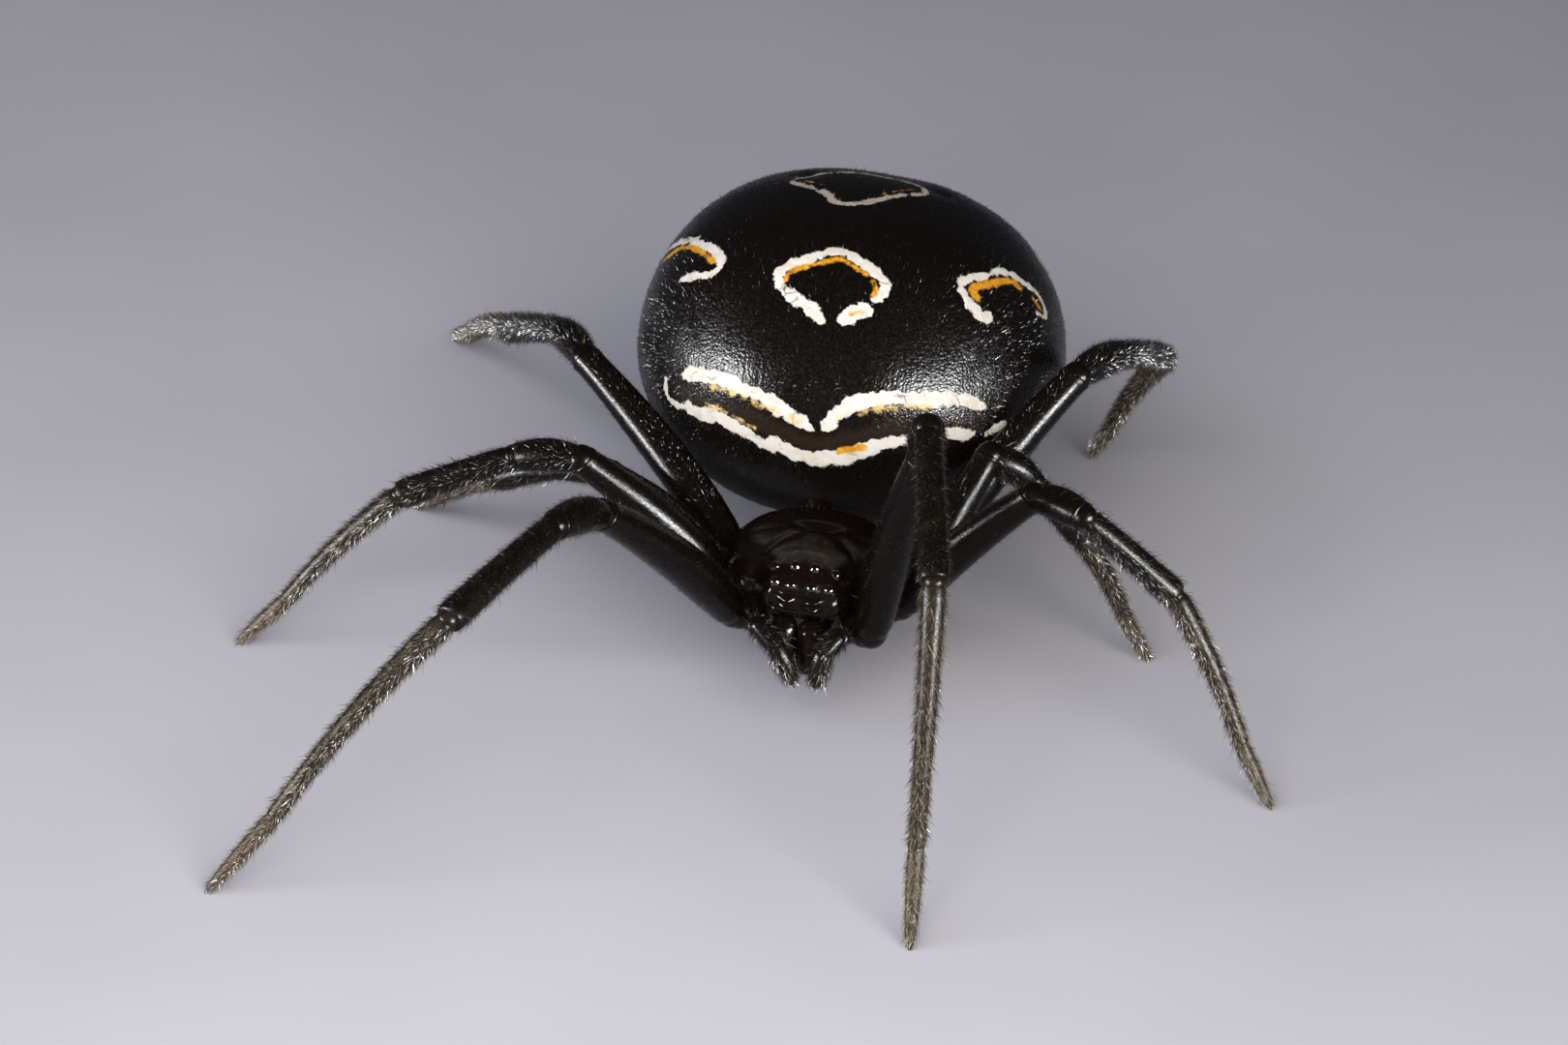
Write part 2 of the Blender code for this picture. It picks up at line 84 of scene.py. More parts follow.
# The carapace: forward of its centre, half width, top, widest level and underside.
CARAPACE_CENTRE = np.array((0.0, -5.55, 2.2))
CARAPACE_STATIONS = (
    (-1.96, 0.10, 0.44, 0.42, 0.38),
    (-1.90, 0.48, 0.68, 0.42, 0.16),
    (-1.72, 1.00, 0.96, 0.40, -0.20),
    (-1.35, 1.50, 1.16, 0.38, -0.50),
    (-0.85, 1.79, 1.23, 0.36, -0.65),
    (-0.35, 1.85, 1.27, 0.36, -0.69),
    (0.20, 1.69, 1.33, 0.38, -0.69),
    (0.65, 1.36, 1.40, 0.44, -0.65),
    (1.05, 1.07, 1.46, 0.52, -0.50),
    (1.40, 0.92, 1.48, 0.64, -0.05),
    (1.68, 0.83, 1.42, 0.74, 0.30),
    (1.86, 0.72, 1.28, 0.80, 0.42),
    (1.96, 0.55, 1.08, 0.82, 0.54),
    (2.01, 0.12, 0.88, 0.84, 0.80),
)
CARAPACE_FLANK_POWER = 0.85
CARAPACE_CROWN_POWER = 0.9

# The roots of the legs, as in the solids.
COXA_LEVEL = -0.05
ROOT_LEVEL = {1: 0.0, 2: 0.25, 3: 0.22, 4: 0.02}
COXA_INNER = {1: (0.55, 0.65), 2: (0.62, 0.22), 3: (0.62, -0.22), 4: (0.50, -0.65)}
COXA_OUTER = {1: (1.40, 1.25), 2: (1.85, 0.42), 3: (2.06, -0.36), 4: (1.84, -1.18)}
COXA_OUTLINE = (
    (0.0, 0.30), (0.1, 0.37), (0.35, 0.415), (0.6, 0.40), (0.72, 0.35), (0.76, 0.335),
    (0.80, 0.365), (0.9, 0.37), (0.99, 0.335), (1.02, 0.26), (1.0, 0.1),
)

SEGMENTS = ("femur", "patella", "tibia", "metatarsus", "tarsus")
LEG_LENGTHS = {
    1: (5.30, 1.75, 3.45, 5.20, 2.00),
    2: (4.00, 1.40, 2.50, 3.40, 1.50),
    3: (3.10, 1.15, 1.70, 2.35, 1.20),
    4: (5.30, 1.65, 3.30, 4.20, 1.50),
}
LEG_STOUTNESS = {1: 1.00, 2: 0.95, 3: 0.90, 4: 0.96}
POSES = {
    ("right", 1): ((36.5, 42.5), (23.0, 16.0), (24.5, -10.0), 64.0),
    ("right", 2): ((74.5, 42.0), (95.0, -10.0), (82.5, -26.0), 82.5),
    ("right", 3): ((120.5, 14.0), (112.5, -14.0), (113.5, -28.5), 132.5),
    ("right", 4): ((127.5, 26.0), (149.0, -7.0), (149.0, -27.0), 157.0),
    ("left", 1): ((29.0, 70.5), (7.0, 48.0), (13.5, -29.0), 11.5),
    ("left", 2): ((81.0, 51.5), (53.0, 7.5), (95.5, -38.5), 76.5),
    ("left", 3): ((140.5, 56.5), (107.0, -34.0), (111.0, -49.5), 112.0),
    ("left", 4): ((133.5, 45.0), (151.5, -3.5), (166.5, -27.0), 205.5),
}
SIDE_SIGN = {"right": -1.0, "left": 1.0}
# Each segment's outline: fraction of its length and radius. A rim stands at the far end, and
# the next segment comes out of it narrower.
OUTLINES = {
    "femur": (
        (-0.02, 0.16), (0.0, 0.29), (0.03, 0.345), (0.09, 0.40), (0.3, 0.445), (0.6, 0.415),
        (0.85, 0.355), (0.95, 0.335), (0.985, 0.345), (0.998, 0.335), (1.004, 0.27), (1.0, 0.1),
    ),
    "patella": (
        (-0.03, 0.12), (0.0, 0.245), (0.06, 0.285), (0.22, 0.335), (0.5, 0.365), (0.78, 0.345),
        (0.92, 0.31), (0.975, 0.315), (0.995, 0.30), (1.005, 0.23), (1.0, 0.1),
    ),
    "tibia": (
        (-0.03, 0.1), (0.0, 0.20), (0.04, 0.255), (0.15, 0.275), (0.5, 0.285), (0.8, 0.305),
        (0.93, 0.31), (0.975, 0.30), (0.995, 0.275), (1.002, 0.21), (0.998, 0.1),
    ),
    "metatarsus": (
        (-0.015, 0.1), (0.0, 0.18), (0.02, 0.225), (0.08, 0.24), (0.3, 0.215), (0.7, 0.18),
        (0.93, 0.17), (0.98, 0.175), (0.995, 0.16), (1.002, 0.12), (0.998, 0.06),
    ),
    "tarsus": (
        (-0.02, 0.06), (0.0, 0.12), (0.03, 0.155), (0.15, 0.165), (0.5, 0.15), (0.8, 0.12),
        (0.93, 0.085), (0.985, 0.05), (1.0, 0.01),
    ),
}
SEGMENT_BOW = {"femur": 0.03, "patella": 0.05, "tibia": 0.01, "metatarsus": 0.03, "tarsus": 0.0}
SEGMENT_ROWS = {"femur": 60, "patella": 44, "tibia": 60, "metatarsus": 60, "tarsus": 44}
# How far each segment has turned from the black of the thigh to the brown of the foot.
SEGMENT_ZONES = {
    "femur": (0.0, 0.03),
    "patella": (0.03, 0.06),
    "tibia": (0.06, 0.25),
    "metatarsus": (0.28, 0.78),
    "tarsus": (0.8, 1.0),
}
# The radius of the ball that closes the joint at the near end of a segment.
JOINT_RADIUS = {"patella": 0.325, "tibia": 0.285, "metatarsus": 0.215, "tarsus": 0.16}
ROOT_JOINT_RADIUS = 0.335
# How far a foot's axis ends above the floor, so that its tip stands flat on it.
FOOT_RISE = 0.04
# Hairs on each segment: how many stand on a square millimetre, and how long they are.
SEGMENT_HAIR = {
    "femur": (140.0, 0.11),
    "patella": (250.0, 0.14),
    "tibia": (420.0, 0.15),
    "metatarsus": (640.0, 0.16),
    "tarsus": (850.0, 0.14),
}

# The jaws and palps, as in the solids.
CHELICERA_BASE = np.array((0.275, -7.42, 2.48))
CHELICERA_LENGTH = 1.00
CHELICERA_PITCH = -84.0
CHELICERA_SPREAD = -6.0
FANG_DIRECTION = (0.35, 0.45, -0.82)
FANG_LENGTH = 0.36
PALP_JOINTS = (
    (0.58, 1.38, -0.28),
    (0.88, 1.76, 0.05),
    (0.81, 2.22, 0.34),
    (0.46, 2.44, 0.02),
    (0.22, 2.50, -0.72),
)
PALP_SWAY = (0.0, 0.0, 0.05, 0.15, 0.30)
PALP_OUTLINES = (
    ((-0.2, 0.05), (-0.1, 0.13), (0.1, 0.16), (0.6, 0.185), (0.92, 0.19), (1.0, 0.17),
     (1.04, 0.05)),
    ((-0.2, 0.05), (-0.12, 0.15), (0.15, 0.19), (0.6, 0.20), (0.9, 0.20), (1.0, 0.18),
     (1.1, 0.05)),
    ((-0.2, 0.05), (-0.12, 0.15), (0.15, 0.19), (0.6, 0.205), (0.9, 0.205), (1.0, 0.18),
     (1.08, 0.05)),
    ((-0.2, 0.05), (-0.1, 0.16), (0.1, 0.205), (0.35, 0.215), (0.7, 0.19), (0.93, 0.13),
     (1.0, 0.02)),
)
PALP_HAIR = ((90.0, 0.13), (190.0, 0.17), (320.0, 0.19), (460.0, 0.17))
CHELICERA_OUTLINE = (
    (-0.14, 0.12), (-0.08, 0.2), (0.0, 0.255), (0.12, 0.27), (0.35, 0.275), (0.6, 0.26),
    (0.82, 0.22), (0.94, 0.185), (1.0, 0.13), (1.0, 0.03),
)

# The lip and the two lobes beside it, under the mouth: place to the side, stoutness, length.
MOUTH_LOBES = ((0.0, 1.15, 0.5), (-0.42, 1.0, 0.72), (0.42, 1.0, 0.72))
MOUTH_OUTLINE = ((-0.1, 0.1), (0.0, 0.2), (0.3, 0.25), (0.7, 0.235), (0.93, 0.15), (1.0, 0.03))
MOUTH_WAY = (0.0, -0.35, -0.94)
# The stalk from the carapace to where it enters the abdomen.
STALK_START = np.array((0.0, -4.10, 2.52))
STALK_OUTLINE = ((0.0, 0.2), (0.1, 0.26), (0.5, 0.25), (0.9, 0.25), (1.0, 0.2))
STALK_ENTRY_TILT = 122.0

# The eyes: distance to the side, forward and up from the carapace's centre, and width.
EYES = {
    "front_middle": (0.20, 1.92, 1.20, 0.21),
    "front_side": (0.53, 1.84, 1.16, 0.22),
    "rear_middle": (0.20, 1.60, 1.46, 0.22),
    "rear_side": (0.62, 1.50, 1.34, 0.22),
}
EYE_DOME = (
    (0.6, -0.5), (1.06, -0.25), (1.08, 0.02), (1.0, 0.13), (0.94, 0.30), (0.80, 0.55),
    (0.56, 0.74), (0.28, 0.84), (0.06, 0.86),
)

# The spinnerets below the rear, as in the solids.
SPINNERET_TILT = 128.0
SPINNERET_GAP = 0.2
SPINNERET_PAIRS = ((0.26, -0.22, 0.42, 0.75), (0.25, 0.26, 0.38, 0.62), (0.12, 0.02, 0.2, 0.4))
SPINNERET_LEAN = (0.18, 0.5)
CUSHION_OUTLINE = ((-1.0, 0.45), (0.0, 0.60), (0.5, 0.63), (0.9, 0.58), (1.0, 0.5), (1.0, 0.2))
SPINNERET_OUTLINE = (
    (0.0, 0.40), (0.3, 0.5), (0.62, 0.45), (0.68, 0.38), (0.9, 0.28), (0.99, 0.14), (1.0, 0.03),
)

# The camera: where it looks from, and the real frame of the picture.
CAMERA_AZIMUTH = 7.0
CAMERA_ELEVATION = 29.5
CAMERA_ROLL = 5.1
CAMERA_DISTANCE = 140.0
CAMERA_TARGET = np.array((-1.38, 0.0, 0.534))
CAMERA_LENS = 152.4
CAMERA_SENSOR = 36.0

# The white lines of the abdomen. Each has a half width, then its points in degrees over the
# surface from the abdomen's top: towards the spider's left, and towards its rear.
WHITE_LINES = (
    (0.15, ((-55, -59), (-46, -62), (-38, -65), (-31, -69), (-24, -72), (-17, -76), (-11, -80),
            (-4, -84))),
    (0.15, ((2, -83), (4, -80), (6, -77), (10, -73), (15, -70), (22, -67), (29, -65), (36, -62),
            (42, -59), (48, -56), (56, -54))),
    (0.06, ((-67, -54), (-70, -57), (-70, -61), (-67, -65), (-61, -69))),
    (0.15, ((-60, -69), (-51, -75), (-43, -78), (-36, -83), (-29, -87))),
    (0.15, ((-28, -88), (-23, -91), (-17, -91), (-11, -95), (-6, -95), (-2, -97))),
    (0.17, ((0, -96), (6, -94), (11, -93), (17, -89), (24, -84))),
    (0.13, ((24, -84), (29, -81), (36, -77), (43, -72), (51, -68), (58, -64))),
    (0.08, ((64, -60), (67, -55), (70, -50))),
    (0.12, ((-15, -37), (-12, -40), (-8, -42), (-6, -45), (-4.5, -47))),
    (0.115, ((-16, -36), (-17, -32), (-14, -28), (-10, -26), (-6, -23), (-2, -21), (3, -24),
             (7, -27), (10, -30), (10.5, -34), (9, -37))),
    (0.16, ((2.5, -45), (4.5, -43), (8, -40))),
    (0.13, ((42, -27), (38, -28), (34, -27))),
    (0.085, ((35, -27), (31, -25), (29, -22), (30, -19), (34, -15), (38, -9), (43, -6), (48, -4),
             (53, -2), (58, -2), (61, -5))),
    (0.035, ((56, -10), (60, -8), (62, -5))),
    (0.08, ((-51, -24), (-44, -26), (-39, -28), (-36, -27), (-34, -24))),
    (0.11, ((-34, -25), (-37, -19), (-42, -14), (-47, -8))),
    (0.085, ((-46, -9), (-56, -1), (-64, 4), (-71, 3), (-76, -2))),
    (0.06, ((-17, 8), (-17, 11), (-10, 17), (0, 19), (9, 16), (11, 12), (10, 9))),
    (0.085, ((-17, 8), (-13, 5), (-8, 2), (-5, -1), (-2, -1), (1, 1), (5, 5), (10, 9))),
)
ORANGE_LINES = (
    (0.085, ((8.5, -91), (14, -88.5), (19, -86))),
    (0.055, ((-15, -34), (-14, -31), (-11, -29), (-7, -27), (-4, -25), (-1, -24.5), (3, -27),
             (6, -29))),
    (0.05, ((7, -30), (8.5, -33), (8, -36))),
    (0.04, ((3.5, -43.5), (6.5, -41.5))),
    (0.085, ((36, -24), (33, -22), (33, -20), (36, -17), (39, -13), (43, -9), (47, -8))),
    (0.04, ((53, -6), (58, -6))),
    (0.07, ((-37, -24), (-39, -21), (-43, -16), (-49, -10), (-56, -6), (-65, -2))),
    (0.02, ((-14, 9), (-9, 6))),
    (0.025, ((1, 3), (5, 8), (8, 11))),
)
# The paler ochre along the inner edges of the two white bands.
OCHRE_LINES = (
    (0.04, ((-44, -67), (-38, -68.5), (-32, -71), (-24, -75), (-18, -78))),
    (0.055, ((-11, -80.5), (-9, -82))),
    (0.055, ((6, -79), (7, -78))),
    (0.045, ((12, -75.5), (19, -71.5), (24, -70), (30, -67), (37, -64.5))),
    (0.025, ((-50, -72), (-42, -75), (-33, -81), (-26, -85))),
)
# The black between the two white bands is a little browner along this line.
BAND_MIDDLE = (
    0.2, ((-60, -64), (-40, -74), (-14, -87), (0, -90), (14, -85), (36, -72), (56, -61)),
)
# The spots behind, which the species has: half width, length and place of each closed ring,
# in degrees from the top as above. The last value says whether it stands on both sides.
REAR_SPOTS = (
    (0.09, (8.0, 6.5), (0.0, 52.0), False),
    (0.09, (7.0, 6.0), (0.0, 72.0), False),
    (0.08, (5.0, 5.0), (0.0, 90.0), False),
    (0.10, (12.0, 7.0), (58.0, 28.0), True),
    (0.10, (9.0, 6.0), (52.0, 56.0), True),
    (0.09, (7.0, 5.0), (42.0, 82.0), True),
)
# The two bars of the underside, between the furrow and the spinnerets, in degrees from the
# lowest point: half width, then points towards the left and towards the rear.
UNDER_BARS = (
    (0.26, ((-11, -9), (0, -5), (11, -9))),
    (0.20, ((-7, 12), (0, 9), (7, 12))),
)

# Colours as the eye sees them.
BLACK_CUTICLE = "#0e0a07"
BROWN_BLACK_CUTICLE = "#150a07"
BAND_BLACK = "#2a2119"
CHALK_WHITE = "#eee8dd"
CREAM_WHITE = "#ddd1bf"
GREYER_TOP_WHITE = "#8f7f6c"
ORANGE_PIGMENT = "#d98f10"
BRIGHT_ORANGE = "#f4b832"
OCHRE_PIGMENT = "#ecc877"
JOINT_SKIN = "#3a261a"
SHIN_BROWN = "#2a231b"
FOOT_BROWN = "#453b2d"
DARK_HAIR = "#0e0c0a"
PALE_HAIR = "#b8a688"
EYE_BLACK = "#0a0706"
EYE_RING = "#3a2a1c"
HORN_BROWN = "#2a140b"
FLOOR_GREY = "#cbcad0"
FLOOR_SHADE = "#c4c3ca"
ROOM_GREY = "#9a9fb0"
WHITE_LIGHT = "#ffffff"
COOL_LIGHT = "#f2f4ff"
WARM_LIGHT = "#fffaf3"

# The lights: azimuth, elevation, distance, width, height, power, colour and what they shine in.
# The strips only shine in the gloss, and the broad lights are kept out of it, since the cuticle
# shows deep black between its highlights.
LIGHTS = {
    "left_strip": (-64.0, 4.5, 120.0, 62.0, 16.0, 0.74, WHITE_LIGHT, "gloss"),
    "right_strip": (56.0, 13.0, 120.0, 62.0, 16.0, 1.1, WHITE_LIGHT, "gloss"),
    "front_softbox": (-32.0, 31.0, 120.0, 130.0, 90.0, 0.118, COOL_LIGHT, "matt"),
    "near_softbox": (18.0, 36.0, 65.0, 60.0, 40.0, 0.038, WARM_LIGHT, "matt"),
    "top_softbox": (0.0, 75.0, 200.0, 160.0, 160.0, 0.014, COOL_LIGHT, "matt"),
}
ROOM_STRENGTH = 0.18
FLOOR_HALF_WIDTH = 900.0

# What chance draws for each hair, from and to: how it strays in three ways, its tone, whether
# it is one of the long ones, and its size.
HAIR_DRAWS = ((-0.5, 0.5), (-0.7, 0.7), (-1.6, 1.6), (0.0, 1.0), (0.0, 1.0), (0.65, 1.15))

# The kinds of node that the materials and the coat use most.
MATH = "ShaderNodeMath"
RAMP = "ShaderNodeMapRange"
VALUE = "ShaderNodeAttribute"
PLACE = "ShaderNodeTexCoord"
CELLS = "ShaderNodeTexVoronoi"
NOISE = "ShaderNodeTexNoise"
VECTOR = "ShaderNodeVectorMath"
JOIN = "ShaderNodeCombineXYZ"
NAMED = "GeometryNodeInputNamedAttribute"
STORE = "GeometryNodeStoreNamedAttribute"
MOVE = "GeometryNodeSetPosition"
TURN = "FunctionNodeEulerToRotation"


def unit(vectors):
    """Vectors made one long."""
    vectors = np.asarray(vectors, float)
    return vectors / (np.linalg.norm(vectors, axis=-1, keepdims=True) + 1e-12)


def compass(side, heading, pitch):
    """The unit direction of a heading and a pitch on one side of the body."""
    turn = radians(heading)
    rise = radians(pitch)
    return np.array((side * sin(turn) * cos(rise), -cos(turn) * cos(rise), sin(rise)))


def signed_power(values, power):
    """A power that keeps the sign, for outlines fuller or slimmer than a circle."""
    return np.sign(values) * np.abs(values) ** power


def smooth_through(points, count):
    """A smooth run of points through a few, evenly shared between them."""
    points = np.asarray(points, float)
    padded = np.vstack((2 * points[0] - points[1], points, 2 * points[-1] - points[-2]))
    places = np.linspace(0.0, len(points) - 1.0, count)
    index = np.minimum(places.astype(int), len(points) - 2)
    t = (places - index)[:, None]
    a, b, c, d = (padded[index + k] for k in range(4))
    return 0.5 * (
        2 * b + (c - a) * t + (2 * a - 5 * b + 4 * c - d) * t ** 2
        + (3 * b - a - 3 * c + d) * t ** 3
    )


def bump(distance, width):
    """A smooth hill of height one that fades over a width."""
    return np.exp(-(np.asarray(distance, float) / width) ** 2)


def abdomen_direction(right, rear):
    """Tilt from the top and turn round it, for degrees to the left and to the rear."""
    tilt = np.radians(np.hypot(right, rear))
    turn = np.arctan2(right, -np.asarray(rear, float)) - pi / 2
    return tilt, turn


def abdomen_surface(tilt, turn):
    """Points of the abdomen's plain surface, from tilts and turns in radians."""
    power = np.where(tilt > pi / 2, ABDOMEN_KEEL, ABDOMEN_DOME)
    spread = np.abs(np.sin(tilt)) ** power
    plan = np.where(np.sin(turn) > 0.0, ABDOMEN_REAR_FULLNESS, 1.0)
    across = spread * signed_power(np.cos(turn), plan)
    along = spread * signed_power(np.sin(turn), plan)
    direction = np.stack((across, along, np.cos(tilt)), axis=-1)
    facing = np.maximum(0.0, unit(direction) @ unit(TUCK_DIRECTION))
    direction = direction * (1.0 - ABDOMEN_TUCK * facing ** TUCK_SHARPNESS)[..., None]
    size = np.array((ABDOMEN_WIDTH, ABDOMEN_LENGTH, ABDOMEN_HEIGHT)) / 2.0
    return ABDOMEN_CENTRE + direction * size


def model_shift():
    """How far the solids were moved in X and Y when they were stood over the origin."""
    low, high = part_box("abdomen")
    left_edge = ABDOMEN_CENTRE[0] - ABDOMEN_WIDTH / 2.0
    rear_edge = ABDOMEN_CENTRE[1] + ABDOMEN_LENGTH / 2.0
    return np.array((low.x / MM - left_edge, high.y / MM - rear_edge, 0.0))


SHIFT = model_shift()


def add_object(name, data):
    """An object in the scene for a mesh, a light or a camera."""
    made = bpy.data.objects.new(name, data)
    bpy.context.scene.collection.objects.link(made)
    return made


class Skin:
    """Closed shells gathered in one mesh, with an unwrap and named values at the points."""

    def __init__(self):
        self.points = []
        self.faces = []
        self.unwrap = []
        self.values = {}
        self.count = 0
        self.shells = 0

    def add(self, points, faces, corners, values):
        """One closed shell: its points, faces, the unwrap of each corner, and its values."""
        a, b, c = (points[[face[k] for face in faces]] for k in range(3))
        turned_in = np.sum(a * np.cross(b, c)) < 0.0
        for face, corner in zip(faces, corners):
            if turned_in:
                face, corner = face[::-1], corner[::-1]
            self.faces.append([index + self.count for index in face])
            self.unwrap.extend(corner)
        self.points.append(points)
        for name, value in values.items():
            self.values.setdefault(name, []).append(value)
        self.count += len(points)

    def add_rings(self, rings, **values):
        """A shell over rings of equal count, closed by a point at each end."""
        rows, sides = rings.shape[:2]
        points = np.vstack((rings.reshape(-1, 3), rings[0].mean(0), rings[-1].mean(0)))
        left, right = self.shells % 8 / 8.0, (self.shells % 8 + 0.96) / 8.0
        low = self.shells // 8 % 8 / 8.0
        self.shells += 1
        faces, corners = [], []

        def place(row, side):
            return (left + (right - left) * side / sides, low + 0.12 * row / (rows - 1))

        for row in range(rows - 1):
            for side in range(sides):
                nxt = (side + 1) % sides
                base, top = row * sides, (row + 1) * sides
                faces.append((base + side, base + nxt, top + nxt, top + side))
                corners.append((
                    place(row, side), place(row, side + 1),
                    place(row + 1, side + 1), place(row + 1, side),
                ))
        last = (rows - 1) * sides
        for side in range(sides):
            nxt = (side + 1) % sides
            faces.append((rows * sides, nxt, side))
            corners.append((place(0, side + 0.5), place(0, side + 1), place(0, side)))
            faces.append((rows * sides + 1, last + side, last + nxt))
            corners.append((
                place(rows - 1, side + 0.5), place(rows - 1, side), place(rows - 1, side + 1)
            ))
        spread = {}
        for name, value in values.items():
            value = np.asarray(value, float)
            if value.ndim and value.shape[0] == rows:
                per_point = np.repeat(value, sides, axis=0)
                spread[name] = np.concatenate((per_point, value[:1], value[-1:]))
            else:
                spread[name] = np.broadcast_to(value, (len(points),) + value.shape)
        self.add(points, faces, corners, spread)

    def make(self, name, material):
        """The finished object, at the origin, with its place in its mesh."""
        points = (np.vstack(self.points) + SHIFT) * MM
        mesh = bpy.data.meshes.new(name)
        mesh.from_pydata(points.tolist(), [], self.faces)
        layer = mesh.uv_layers.new(name="unwrap")
        layer.data.foreach_set("uv", np.asarray(self.unwrap, np.float32).ravel())
        for key, parts in self.values.items():
            value = np.concatenate(parts).astype(np.float32)
            kind = "FLOAT_VECTOR" if value.ndim > 1 else "FLOAT"
            attribute = mesh.attributes.new(key, kind, "POINT")
            attribute.data.foreach_set("vector" if value.ndim > 1 else "value", value.ravel())
        mesh.shade_smooth()
        mesh.materials.append(material)
        return add_object(name, mesh)


def frame_across(along):
    """The level and the rising direction across a way, or across each of several."""
    level = unit(np.cross(along, UP))
    return level, np.cross(level, along)


def spokes_round(level, rise, sides):
    """Unit directions round a ring, or round each of several."""
    turn = np.linspace(0.0, 2.0 * pi, sides, endpoint=False)[:, None]
    return level[..., None, :] * np.cos(turn) + rise[..., None, :] * np.sin(turn)


def sweep(centres, radii, sides):
    """Rings of points round a line of centres, level at their first point."""
    spokes = spokes_round(*frame_across(unit(np.gradient(centres, axis=0))), sides)
    return centres[:, None] + spokes * radii[:, None, None]


def outline_rings(start, end, outline, scale, sides, bow=0.0, rows=44):
    """A straight or slightly bowed segment between two points, turned to an outline."""
    fractions, radii = smooth_through(outline, rows).T
    axis = end - start
    length = np.linalg.norm(axis)
    level, rise = frame_across(axis / length)
    lift = bow * length * 4.0 * fractions * (1.0 - fractions)
    centres = start + axis * fractions[:, None] + rise * lift[:, None]
    radii = np.abs(radii)[:, None, None] * scale
    return centres[:, None] + spokes_round(level, rise, sides) * radii, fractions, axis / length


def ball_rings(centre, radius, sides=20, rows=12):
    """The rings of a small ball, for the soft skin inside a joint."""
    tilt = np.linspace(0.12, pi - 0.12, rows)
    turn = np.linspace(0.0, 2.0 * pi, sides, endpoint=False)
    spots = np.stack((
        np.sin(tilt)[:, None] * np.cos(turn),
        np.sin(tilt)[:, None] * np.sin(turn),
        np.cos(tilt)[:, None] * np.ones(sides),
    ), axis=-1)
    return np.asarray(centre, float) + radius * spots


def lumpy(points, amount, size, seed):
    """A small uneven swelling at each point, from smooth noise of a given size."""
    offset = Vector((seed * 7.3, seed * 3.1, seed * 5.7))
    return np.array([
        amount * noise.noise(Vector(point) / size + offset) for point in points.reshape(-1, 3)
    ]).reshape(points.shape[:-1])


def linear(hex_colour):
    """A colour as the eye sees it, turned to the linear one that a shader takes."""
    channels = [int(hex_colour[k:k + 2], 16) / 255.0 for k in (1, 3, 5)]
    turned = [c / 12.92 if c <= 0.04045 else ((c + 0.055) / 1.055) ** 2.4 for c in channels]
    return (*turned, 1.0)


def set_inputs(tree, node, inputs):
    """Set or link a node's inputs, by place or by name, to values, hex colours or links."""
    for place, value in inputs.items() if isinstance(inputs, dict) else enumerate(inputs):
        if isinstance(value, bpy.types.NodeSocket):
            tree.links.new(value, node.inputs[place])
        elif isinstance(value, str) and value.startswith("#"):
            node.inputs[place].default_value = linear(value)
        else:
            node.inputs[place].default_value = value


def add_node(tree, kind, inputs=(), output=0, **settings):
    """One node with its settings and inputs. It gives back one of the node's outputs."""
    node = tree.nodes.new(kind)
    for name, value in settings.items():
        setattr(node, name, value)
    set_inputs(tree, node, inputs)
    return node.outputs[output]


def new_material(name):
    """An empty material, and the function that adds a node to it."""
    material = bpy.data.materials.new(name)
    material.use_nodes = True
    return material, partial(add_node, material.node_tree)


def painted(material, inputs):
    """A material once its shader's inputs are set or linked."""
    tree = material.node_tree
    set_inputs(tree, tree.nodes["Principled BSDF"], inputs)
    return material


def pattern_scale(size):
    """The scale of a procedural pattern whose features are this many millimetres wide."""
    return 1.0 / (size * MM)


def patches(add, size, low=0.0, high=1.0, ends=(0.0, 1.0), detail=3.0, place=None):
    """A value that goes smoothly between two others, in patches so many millimetres wide."""
    place = place or add(PLACE, output="Object")
    cloud = add(NOISE, {"Vector": place, "Scale": pattern_scale(size), "Detail": detail})
    return add(RAMP, (cloud, *ends, low, high))


def layered(add, base, *layers):
    """A base colour with others laid over it in turn, each with how much of it shows."""
    for share, colour in layers:
        base = add("ShaderNodeMix", {0: share, 6: base, 7: colour}, 2, data_type="RGBA")
    return base


def relief(add, *layers):
    """The normal of a surface with layers of relief, each a height and its millimetres deep."""
    under = {}
    for height, depth in layers:
        inputs = {"Height": height, "Distance": depth * MM, "Strength": 1.0, **under}
        under = {"Normal": add("ShaderNodeBump", inputs)}
    return under["Normal"]


